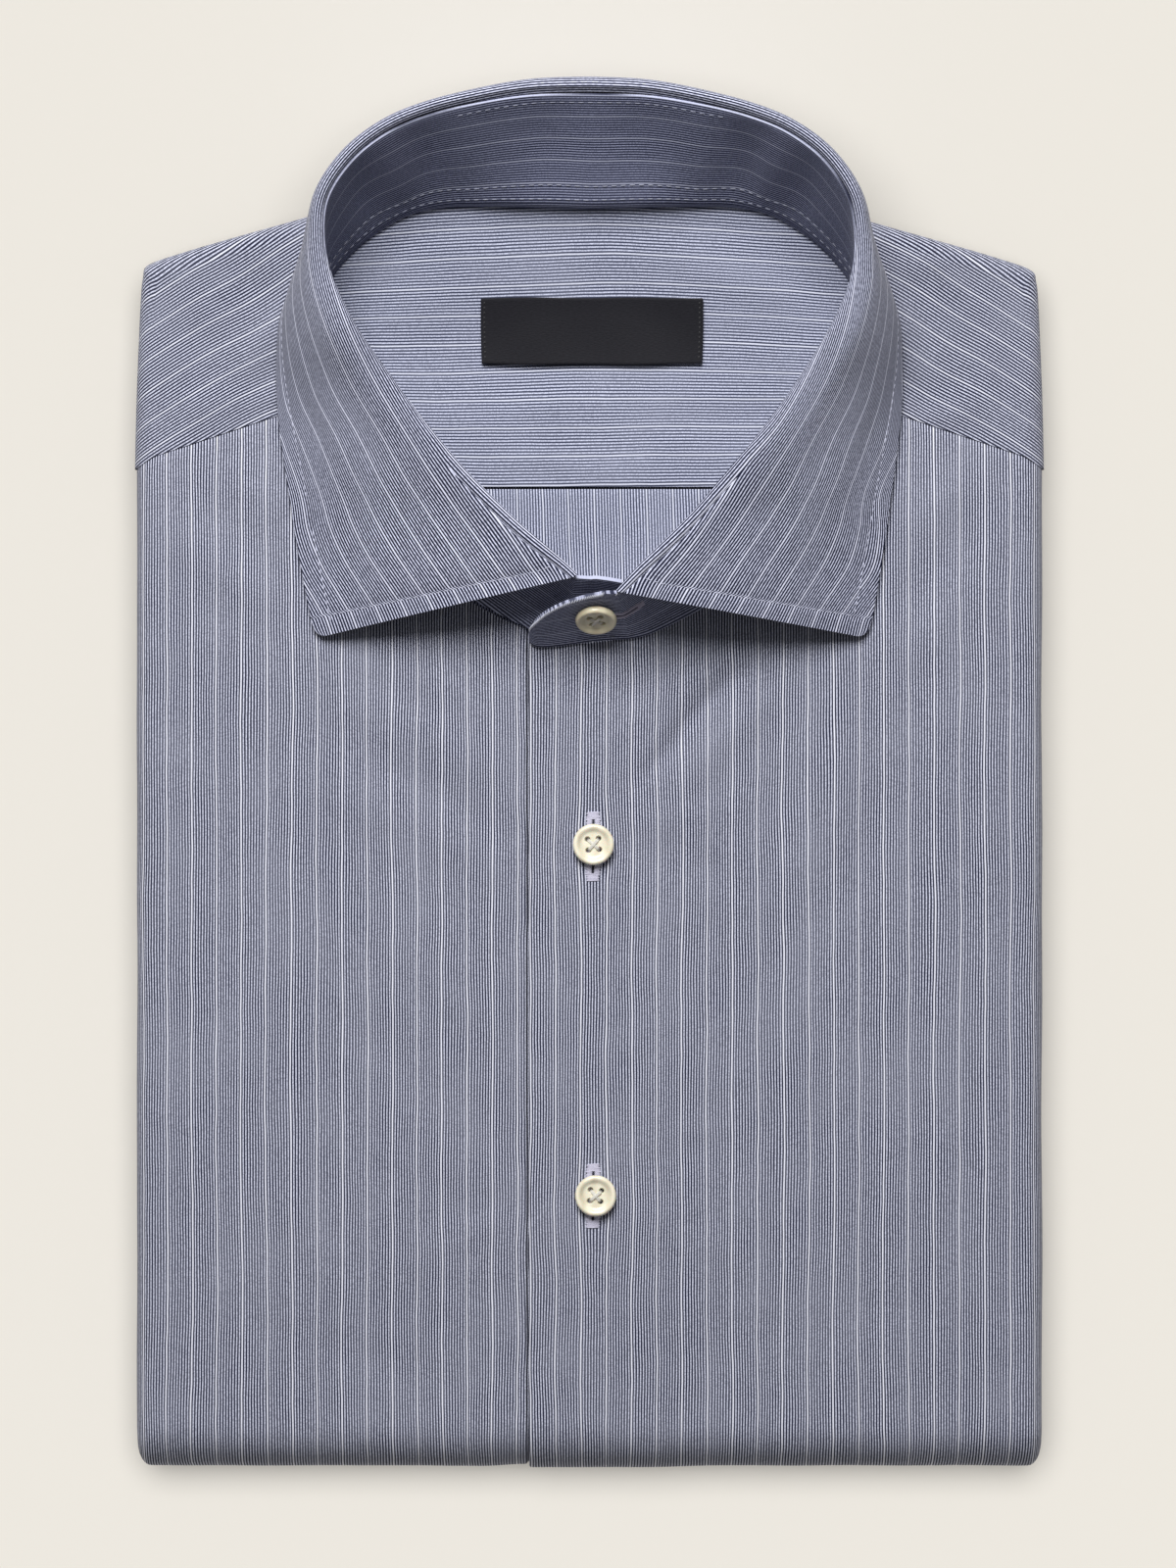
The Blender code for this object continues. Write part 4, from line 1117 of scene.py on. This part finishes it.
def label_point(across, down):
    """A point of the label's face; its corners lift and its edges run a little uneven."""
    x = mix(LABEL_LEFT, LABEL_RIGHT, across)
    y = mix(LABEL_BACK, LABEL_FRONT, down)
    y += 0.30 * sin(pi * across) * (0.5 - down) + 0.22 * sin(13 * across + 2) * (down - 0.5)
    x += 0.35 * (across - 0.5) * sin(3.0 * down + 0.6)
    wave = 0.20 * sin(7.0 * across + 1.5 * down) + 0.12 * sin(15 * across - 3 * down)
    ends = exp(-(((across - 0.5) / 0.47) ** 8))
    return Vector((x, y, inside_height(x, y) + LABEL_LIFT - 0.25 * (1 - ends) + wave * 0.6))


satin, tree, shader = plain_material(
    "label_satin", (0.009, 0.009, 0.012), 0.6, Specular_IOR_Level=0.14
)
cut_map = add_node(tree, "UVMap", uv_map="cut")
ribbed = add_node(tree, "VectorMath", (cut_map, (900, 3600, 1)), operation="MULTIPLY")
satin_threads = add_node(tree, "TexNoise", {"Vector": ribbed, "Scale": 1.0, "Detail": 2.0})
satin_tint = tinted(tree, satin_threads, (0.003, 0.003, 0.005), (0.015, 0.0145, 0.019))
surface(tree, shader, satin_tint, satin_threads, 0.08, 0.6)

label_grid = [[label_point(a, d) for a in steps(1.0, 0.0, 72)] for d in steps(0.0, 1.0, 24)]
label_cut = [[(p.x, p.y) for p in row] for row in label_grid]
neck_label = lay_cloth("neck_label_cloth", label_grid, label_cut, satin, thick=LABEL_THICK)
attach(neck_label, "root")
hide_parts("neck_label")

# ---------------------------------------------------------------------------------------------
# Buttons: turned from pale shell, dished inside a rounded rim, four holes each, sewn on with
# crossed pale thread and wound to a short shank. Two on the closure, one on the stand.

BUTTON_HALF, BUTTON_CLEAR, HOLE_RADIUS, HOLE_PITCH = 1.3, 0.3, 0.62, 3.05
AROUND_BUTTON, AROUND_HOLE = 72, 24
STRAND_WIDE, STRANDS_APART, LOWER_STRANDS, UPPER_STRANDS = 0.40, 0.27, 0.66, 0.88
COLLAR_BUTTON_UP, COLLAR_BUTTON_ASIDE, COLLAR_BUTTON_TURN = 2.7, 0.8, 12
BUTTON_PROFILE = (
    # radius, height
    (0, 0.52),
    (1.4, 0.50),
    (2.8, 0.50),
    (3.5, 0.60),
    (4.05, 0.92),
    (4.5, 1.20),
    (4.95, 1.29),
    (5.35, 1.12),
    (5.62, 0.66),
    (5.70, 0.12),
    (5.56, -0.42),
    (5.1, -0.92),
    (4.2, -1.24),
    (2.5, -1.30),
    (0, -1.30),
)


def turned(profile, around):
    """Turn a profile of radius and height round the Z axis, closed at both ends on the axis."""
    points, faces = [(0.0, 0.0, profile[0][1])], []
    inner = profile[1:-1]
    for radius, height in inner:
        for k in range(around):
            angle = 2 * pi * k / around
            points.append((radius * cos(angle), radius * sin(angle), height))
    points.append((0.0, 0.0, profile[-1][1]))
    last = len(points) - 1
    for k in range(around):
        nxt = (k + 1) % around
        faces.append((0, 1 + k, 1 + nxt))
        for r in range(len(inner) - 1):
            a, b = 1 + r * around, 1 + (r + 1) * around
            faces.append((a + k, b + k, b + nxt, a + nxt))
        end = 1 + (len(inner) - 1) * around
        faces.append((last, end + nxt, end + k))
    return points, faces


def turned_shell(name, light, dark):
    """Polished shell in cloudy layers."""
    made, tree, shader = plain_material(
        name,
        light,
        0.30,
        Specular_IOR_Level=0.45,
        Coat_Weight=0.25,
        Coat_Roughness=0.2,
        Subsurface_Weight=0.12,
        Subsurface_Scale=0.002,
    )
    spot = add_node(tree, "TexCoord", out=3)
    clouds = add_node(tree, "TexNoise", {"Vector": spot, "Scale": 260.0, "Detail": 2.0})
    layers = add_node(
        tree,
        "TexWave",
        {"Vector": spot, "Scale": 95.0, "Distortion": 5.0, "Detail": 2.0, "Detail Scale": 1.5},
        out=1,
    )
    share = add_node(tree, "Math", (clouds, layers), operation="MULTIPLY")
    surface(tree, shader, tinted(tree, share, light, dark), clouds, 0.05, 0.3)
    return made


shell_ivory = turned_shell("shell_button", (0.80, 0.75, 0.60), (0.58, 0.52, 0.37))
# the stand's button is the same shell, darkened to an olive tone as painted shade for its place in
# the collar's shade
shell_painted_shade = turned_shell("shell_button_painted_shade", (0.64, 0.58, 0.42), (0.47, 0.41, 0.27))


def pale_thread(name, colour, dark):
    """Cotton thread, twisted from two plies, a little fuzzy."""
    made, tree, shader = plain_material(name, colour, 0.75, Sheen_Weight=0.2)
    spot = add_node(tree, "TexCoord", out=3)
    twist = add_node(tree, "TexNoise", {"Vector": spot, "Scale": 2600.0, "Detail": 1.0})
    surface(tree, shader, tinted(tree, twist, dark, colour), twist, 0.1, 0.5)
    return made


AROUND_STRAND = 6
STITCH_SECTION = (
    # share of its length, fullness, height
    (0, 0.30, -0.45),
    (0.14, 0.85, 0.02),
    (0.5, 1, 0.14),
    (0.86, 0.85, 0.02),
    (1, 0.30, -0.45),
)


def add_strand(points, faces, start, end, normal, width, rise=1.0):
    """One visible stitch: a strand from start to end that dives into the cloth at both."""
    run = end - start
    across = normal.cross(run).normalized()
    first = len(points)
    for share, fullness, height in STITCH_SECTION:
        centre = start + run * share + normal * (height * width * rise)
        for k in range(AROUND_STRAND):
            angle = 2 * pi * k / AROUND_STRAND
            spoke = across * cos(angle) + normal * sin(angle)
            points.append(centre + spoke * (width / 2 * fullness))
    for a in range(first, len(points) - AROUND_STRAND, AROUND_STRAND):
        for k in range(AROUND_STRAND):
            nxt = (k + 1) % AROUND_STRAND
            faces.append((a + k, a + nxt, a + AROUND_STRAND + nxt, a + AROUND_STRAND + k))
    faces.append(tuple(range(first + AROUND_STRAND - 1, first - 1, -1)))
    faces.append(tuple(range(len(points) - AROUND_STRAND, len(points))))


def sew(name, points, faces, finish):
    piece = add_mesh(name, points, faces)
    piece.data.materials.append(finish)
    piece.data.shade_smooth()
    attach(piece, "root")
    return piece


thread_ivory = pale_thread("thread_ivory", (0.74, 0.72, 0.66), (0.50, 0.48, 0.42))
# the ivory thread darkened, as painted shade, for the button on the shaded stand
thread_ivory_painted_shade = pale_thread("thread_ivory_painted_shade", (0.60, 0.57, 0.52), (0.40, 0.37, 0.33))
button_line = [along(BUTTON_PROFILE, k / 3) for k in range(0, 3 * (len(BUTTON_PROFILE) - 1) + 1)]
# the drill widens where it leaves the dish; the shank is wound in three turns
drill_line = ((0, 3.0), (0.98, 3.0), (0.98, 0.60), (HOLE_RADIUS, 0.12), (HOLE_RADIUS, -4), (0, -4))
SHANK = ((1.7, -1.15), (1.9, -1.35), (1.75, -1.5), (1.95, -1.65), (1.8, -1.8))
shank_line = ((0, SHANK[0][1]), *SHANK, (0, SHANK[-1][1]))


def add_button(node, place, shell, thread):
    """Turn the button, drill it, and sew it on with two crossed pairs of strands."""
    points, faces = turned(button_line, AROUND_BUTTON)
    button = add_mesh(node + "_shell", [place @ Vector(p) for p in points], faces)
    button.data.materials.append(shell)
    points, faces = [], []
    for sx in (-1, 1):
        for sy in (-1, 1):
            hole_points, hole_faces = turned(drill_line, AROUND_HOLE)
            first = len(points)
            at = Vector((sx, sy, 0)) * (HOLE_PITCH / 2)
            points += [place @ (Vector(p) + at) for p in hole_points]
            faces += [tuple(first + i for i in f) for f in hole_faces]
    drill = add_mesh(node + "_drill", points, faces)
    holes = button.modifiers.new("holes", "BOOLEAN")
    holes.operation = "DIFFERENCE"
    holes.object = drill
    settle(button, 38)
    bpy.data.objects.remove(drill)
    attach(button, "root")
    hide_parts(node)
    points, faces = [], []
    up = place.to_3x3() @ Vector((0, 0, 1))
    for diagonal in (-1, 1):
        for strand in (-1, 0, 1):
            shift = Vector((-diagonal, 1, 0)).normalized() * (STRANDS_APART * strand)
            reach = Vector((1, diagonal, 0)) * (HOLE_PITCH / 2 * 0.98)
            level = (UPPER_STRANDS if diagonal > 0 else LOWER_STRANDS) - 0.06 * abs(strand)
            ends = [place @ (reach * s + shift + Vector((0, 0, level))) for s in (-1, 1)]
            add_strand(points, faces, *ends, up, STRAND_WIDE)
    shank, shank_faces = turned(shank_line, AROUND_HOLE)
    first = len(points)
    points += [place @ Vector(p) for p in shank]
    faces += [tuple(first + i for i in f) for f in shank_faces]
    sew(node + "_thread", points, faces, thread)


for number, (x, y, turn) in enumerate(FRONT_BUTTONS, 1):
    seat = Vector((x, y, face_height(x, y) + PLACKET_RAISE + BUTTON_CLEAR + BUTTON_HALF))
    add_button(
        f"button_front_{number}",
        Matrix.Translation(seat) @ Matrix.Rotation(radians(turn), 4, "Z"),
        shell_ivory,
        thread_ivory,
    )
low, high = (Vector(corner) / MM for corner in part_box("button_collar"))
band_up = end_row(STAND_TAB, 1.8, over)
band_up = (band_up[8] - band_up[4]).normalized()
band_out = Vector((1, 0, 0)).cross(band_up).normalized()
facing = band_out.to_track_quat("Z", "Y").to_matrix().to_4x4()
seat = (low + high) / 2 + band_up * COLLAR_BUTTON_UP + Vector((COLLAR_BUTTON_ASIDE, 0, 0))
facing @= Matrix.Rotation(radians(COLLAR_BUTTON_TURN), 4, "Z")
# the stand's button and its thread carry painted shade
add_button("button_collar", Matrix.Translation(seat) @ facing, shell_painted_shade, thread_ivory_painted_shade)

# ---------------------------------------------------------------------------------------------
# Buttonholes: a slit between two lips of close satin stitches, barred at both ends, in a pale
# lavender thread. Two upright ones on the placket, one along the band.

thread_lavender = pale_thread("thread_lavender", (0.62, 0.60, 0.71), (0.42, 0.41, 0.53))
# the same lavender thread darkened, as painted shade, for the buttonhole on the shaded band
thread_lavender_painted_shade = pale_thread("thread_lavender_painted_shade", (0.46, 0.42, 0.53), (0.28, 0.25, 0.34))
# a near-black strip over each buttonhole's slit: painted shade for the gap down to the cloth
# beneath
slit_painted_shade, tree, shader = plain_material("slit_painted_shade", (0.012, 0.012, 0.02), 0.9)
slit_shade_noise = add_node(tree, "TexNoise", {"Scale": 900.0})
slit_shade_tint = tinted(tree, slit_shade_noise, (0.006, 0.006, 0.012), (0.03, 0.03, 0.05))
tree.links.new(slit_shade_tint, shader.inputs["Base Color"])
SATIN_PITCH, BAR_LENGTH, LIP_GAP, SLIT_HALF, SLIT_STEPS = 0.34, 1.9, 0.16, 0.3, 14
BAR_STRAND, LIP_STRAND = (0.46, 1.3), (0.44, 1.5)  # width of a stitch, and how high it stands
BUTTONHOLE_X, BUTTONHOLE_ENDS = 1.0, ((-10.7, -29.8), (-107.9, -125.6))
FRONT_LIP, BAND_LIP = 2.1, 1.5
STRAIGHT_UP = Vector((0, 0, 1))


def add_buttonhole(name, path, normals, thread, lip_width):
    """Sew one along a path of points on the cloth."""
    lengths = distances(path)
    total = lengths[-1]
    points, faces = [], []

    def at(length):
        k = max(i for i, done in enumerate(lengths[:-1]) if done <= length)
        share = (length - lengths[k]) / (lengths[k + 1] - lengths[k])
        run = (path[k + 1] - path[k]).normalized()
        return path[k].lerp(path[k + 1], share), run, normals[k].lerp(normals[k + 1], share)

    count = int(total / SATIN_PITCH)
    for k in range(count):
        length = (k + 0.5) * total / count
        here, run, up = at(length)
        across = up.cross(run).normalized()
        barred = min(length, total - length) < BAR_LENGTH
        uneven = 0.16 * sin(k * 2.4) + 0.10 * sin(k * 5.3)
        outer = lip_width + uneven
        if barred:
            outer *= 0.90 + 0.10 * min(length, total - length) / BAR_LENGTH
            ends = here - across * outer, here + across * outer
            add_strand(points, faces, *ends, up, *BAR_STRAND)
        else:
            for side in (-1, 1):
                ends = here + across * (side * outer), here + across * (side * LIP_GAP)
                add_strand(points, faces, *ends, up, *LIP_STRAND)
    sew(name, points, faces, thread)
    # the slit is a dark strip just over the cloth: painted shade
    slit = []
    for length in steps(BAR_LENGTH * 0.8, total - BAR_LENGTH * 0.8, SLIT_STEPS):
        here, run, up = at(length)
        across = up.cross(run).normalized()
        slit += [here - across * SLIT_HALF + up * 0.07, here + across * SLIT_HALF + up * 0.07]
    faces = [(k, k + 1, k + 3, k + 2) for k in range(0, 2 * SLIT_STEPS, 2)]
    sew(name + "_slit", slit, faces, slit_painted_shade)


def placket_point(x, y):
    return Vector((x, y, face_height(x, y) + raise_placket(x)))


for number, ends in enumerate(BUTTONHOLE_ENDS, 1):
    path = [
        placket_point(BUTTONHOLE_X + 0.1 * sin(k), y) for k, y in enumerate(steps(*ends, 12))
    ]
    normals = [STRAIGHT_UP] * len(path)
    add_buttonhole(f"buttonhole_front_{number}", path, normals, thread_lavender, FRONT_LIP)


def band_line(first, last, share, outside=True):
    """Points along the stand at a share of its height, on its outside or inside face."""
    path, normals = [], []
    for r in range(first, last + 1):
        row = stand[r]
        k = min(UP_STAND - 1, int(share * UP_STAND))
        here = row[k].lerp(row[k + 1], share * UP_STAND - k)
        ahead, behind = stand[min(r + 1, len(stand) - 1)], stand[max(r - 1, 0)]
        normal = (row[k + 1] - row[k]).cross(ahead[k] - behind[k]).normalized()
        if not outside:
            normal.negate()
        path.append(here + normal * (STAND_THICK / 2))
        normals.append(normal)
    return path, normals


path, normals = band_line(stand_end - 9, stand_end + 6, 0.52)
add_buttonhole("buttonhole_band", path, normals, thread_lavender_painted_shade, BAND_LIP)

# ---------------------------------------------------------------------------------------------
# Stitching: single rows of short pale stitches, inside the edges of the leaf, along the stand
# and round its buttoned end, and in black along both short ends of the label.

thread_pale = pale_thread("thread_pale", (0.52, 0.53, 0.64), (0.36, 0.37, 0.47))
thread_white = pale_thread("thread_white", (0.62, 0.63, 0.70), (0.44, 0.45, 0.53))
# a darker copy of the pale thread, as painted shade, for the stitches on the shaded band
thread_band_painted_shade = pale_thread("thread_band_painted_shade", (0.34, 0.35, 0.43), (0.20, 0.21, 0.27))
thread_black = pale_thread("thread_black", (0.012, 0.012, 0.014), (0.004, 0.004, 0.005))
LEAF_STITCH, BAND_STITCH, LABEL_STITCH = (1.6, 0.55), (1.7, 0.8), (0.8, 0.55)  # length and gap


def stitch_row(points, faces, path, normals, stitch, gap, width):
    """Walk along a path and set stitches of one length with a gap between them."""
    lengths = distances(path)
    count = max(1, int(lengths[-1] / (stitch + gap)))
    pitch = lengths[-1] / count
    k = 0
    for number in range(count):
        ends = []
        for length in (number * pitch, number * pitch + stitch * pitch / (stitch + gap)):
            while k < len(lengths) - 2 and lengths[k + 1] < length:
                k += 1
            share = (length - lengths[k]) / max(1e-6, lengths[k + 1] - lengths[k])
            ends.append((path[k].lerp(path[k + 1], share), normals[k]))
        add_strand(points, faces, ends[0][0], ends[1][0], ends[0][1], width)


def leaf_spot(row, before, margin):
    """Point and normal at a distance in from the leaf's outer edge."""
    lengths = distances(row)
    target = lengths[-1] - margin
    k = max(i for i, done in enumerate(lengths[:-1]) if done <= target)
    share = (target - lengths[k]) / (lengths[k + 1] - lengths[k])
    here = row[k].lerp(row[k + 1], share)
    normal = (row[k + 1] - row[k]).cross(row[k] - before[k]).normalized()
    return here, normal if normal.z > 0 or abs(normal.z) < 0.3 else -normal


points, faces = [], []
for side in (-1, 1):
    rows = leaf_halves[side][0]
    path, normals = [], []
    for r in range(9, len(rows)):
        here, normal = leaf_spot(rows[r], rows[r - 1], LEAF_MARGIN)
        outward = Vector((here.x, here.y - 110, 14))
        normals.append(normal if normal.dot(outward) > 0 else -normal)
        path.append(here)
    stitch_row(points, faces, path, normals, *LEAF_STITCH, 0.27)
    # the row along the front edge runs between the last two rows of points beside the margin
    front_at = min(range(len(rows)), key=lambda r: abs(leaf_places[r] - FRONT_MARGIN))
    row = rows[front_at]
    lengths = distances(row)
    first, last = lengths[STITCHED_FROM], lengths[-1] - LEAF_MARGIN
    path = [p for p, s in zip(row, lengths) if first < s < last]
    stitch_row(points, faces, path, [STRAIGHT_UP] * len(path), *LEAF_STITCH, 0.24)
sew("stitches_leaf", points, faces, thread_pale)

points, faces = [], []
for first, last, share, outside, width in (
    # two rows above the neck seam, a short one under the fold behind, one on the buttoned end
    (stand_start + 44, stand_end - 44, 0.045, False, 0.32),
    (stand_start + 44, stand_end - 44, 0.17, False, 0.32),
    (stand_start + 122, stand_end - 122, 0.93, False, 0.24),
    (stand_end - 14, stand_end + 10, 0.08, True, 0.22),
):
    path, normals = band_line(first, last, share, outside=outside)
    stitch_row(points, faces, path, normals, *BAND_STITCH, width)
sew("stitches_band", points, faces, thread_band_painted_shade)

# the buttoned end is edged with small slanting pricks along its top
points, faces = [], []
for r in range(stand_end - 2, len(stand) - 3):
    row, ahead = stand[r], stand[r + 1]
    high, low = row[UP_STAND], row[UP_STAND - 2]
    up = (high - low).normalized()
    run = (ahead[UP_STAND] - high).normalized()
    out = up.cross(run).normalized()
    start = high + out * (STAND_THICK / 2) - up * 1.2 + run * 0.4
    add_strand(points, faces, start, start + up * 1.45 - run * 0.75, out, 0.38, 1.6)
sew("stitches_band_end", points, faces, thread_white)

points, faces = [], []
for across in (0.016, 0.984):
    path = [label_point(across, d) + Vector((0, 0, 0.02)) for d in steps(0.05, 0.95, 24)]
    stitch_row(points, faces, path, [STRAIGHT_UP] * len(path), *LABEL_STITCH, 0.36)
sew("stitches_label", points, faces, thread_black)

# ---------------------------------------------------------------------------------------------
# The layers folded away: sleeves, cuffs, sides and the lower back lie folded over on themselves
# between the two faces. Their folded ends show under the shoulder fold, behind.

LAYERS = (
    # low, high, half_x, back_y, skew, seed
    (1.75, 4.35, 117, 125.6, 0.010, 11),
    (4.60, 7.15, 113.5, 122.6, -0.014, 12),
    (7.40, 9.85, 116, 126, 0.006, 13),
)


def fold_layer(name, low, high_of, half_x, back_of, skew, seed):
    """A doubled layer: forward underneath, round its folded end, and back on top."""
    grid, cut = [], []
    front_y = FOLD_Y + 4
    for part, value in (
        [("under", s) for s in steps(0.0, 1.0, 50)]
        + [("fold", a) for a in steps(0.0, pi, 10)[1:-1]]
        + [("over", s) for s in steps(1.0, 0.0, 50)]
    ):
        row = []
        for x in steps(-half_x, half_x, 76):
            end_y = back_of(x) + skew * x + 0.5 * rumpled(x, 0, 24, seed)
            y = end_y if part == "fold" else mix(front_y, end_y, value)
            high = high_of(x, min(y, end_y))
            radius = (high - low) / 2
            swell = 0.12 * rumpled(x, y, 18, seed + 0.5)
            if part == "fold":
                y, z = end_y + radius * sin(value), low + radius - radius * cos(value)
            else:
                z = low + abs(swell) if part == "under" else high - abs(swell)
            row.append((x, y, z))
        grid.append(row)
    down = distances([row[38] for row in grid])
    cut = [[(p[0] + seed, down[r]) for p in row] for r, row in enumerate(grid)]
    piece = lay_cloth(name, [row[::-1] for row in grid], [row[::-1] for row in cut], shirting)
    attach(piece, "root")
    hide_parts("folded_layers")
    return piece


for number, (low, high, half_x, back_y, skew, seed) in enumerate(LAYERS, 1):
    flat_top, straight_end = (lambda x, y: high), (lambda x: back_y)
    name = f"folded_layer_{number}"
    fold_layer(name, low, flat_top, half_x, straight_end, skew, seed)
# the last one follows the dip of the inside, and its folded end follows the shoulders
low, half_x, seed = 14.7, 114.0, 14.0
dipped, shoulders = (lambda x, y: inside_height(x, y) - 2.2), (lambda x: shoulder_y(x) - 11.0)
fold_layer("folded_layer_4", low, dipped, half_x, shoulders, 0.0, seed)

# ---------------------------------------------------------------------------------------------
# The place it lies on: a plain pale table under an even pale sky. One broad soft light stands
# beyond the collar and falls on the cloth; another, overhead, lights the table alone, so that
# its shadows stay faint. The camera looks straight down.

table_paint, tree, shader = plain_material("pale_table", (0.812, 0.777, 0.711), 0.9)
shader.inputs["Specular IOR Level"].default_value = 0.0
corners = [(x * 4000, y * 4000, 0) for x, y in ((-1, -1), (1, -1), (1, 1), (-1, 1))]
floor = add_mesh("floor", corners, [(0, 1, 2, 3)])
floor.location.z = -0.0001
floor.data.materials.append(table_paint)

sky = bpy.data.worlds.new("sky")
sky.use_nodes = True
glow = sky.node_tree.nodes["Background"].inputs
glow["Color"].default_value, glow["Strength"].default_value = (1.0, 1.0, 1.0, 1.0), 0.18
bpy.context.scene.world = sky

lamp = bpy.data.lights.new("window_light", "AREA")
lamp.shape, lamp.size, lamp.energy = "DISK", 0.95, 38.5
window = bpy.data.objects.new("window_light", lamp)
window.location = Vector((-0.11, 0.78, 1.0)).normalized() * 1.6
window.rotation_euler = window.location.to_track_quat("Z", "Y").to_euler()
bpy.context.collection.objects.link(window)
cloth_only = bpy.data.collections.new("all_but_table")
cloth_only.objects.link(floor)
cloth_only.collection_objects[0].light_linking.link_state = "EXCLUDE"
window.light_linking.receiver_collection = cloth_only

lamp = bpy.data.lights.new("overhead_light", "SUN")
lamp.angle, lamp.energy = radians(50), 2.78
overhead = bpy.data.objects.new("overhead_light", lamp)
overhead.rotation_euler = Vector((-0.04, 0.20, 1.0)).to_track_quat("Z", "Y").to_euler()
bpy.context.collection.objects.link(overhead)
table_only = bpy.data.collections.new("table_only")
table_only.objects.link(floor)
overhead.light_linking.receiver_collection = table_only

lens = bpy.data.cameras.new("camera")
lens.lens, lens.sensor_width = 120, 36
camera = bpy.data.objects.new("camera", lens)
camera.location = (-0.0004, -0.0030, 1.470)
bpy.context.collection.objects.link(camera)
bpy.context.scene.camera = camera
bpy.context.scene.view_settings.view_transform = "Standard"
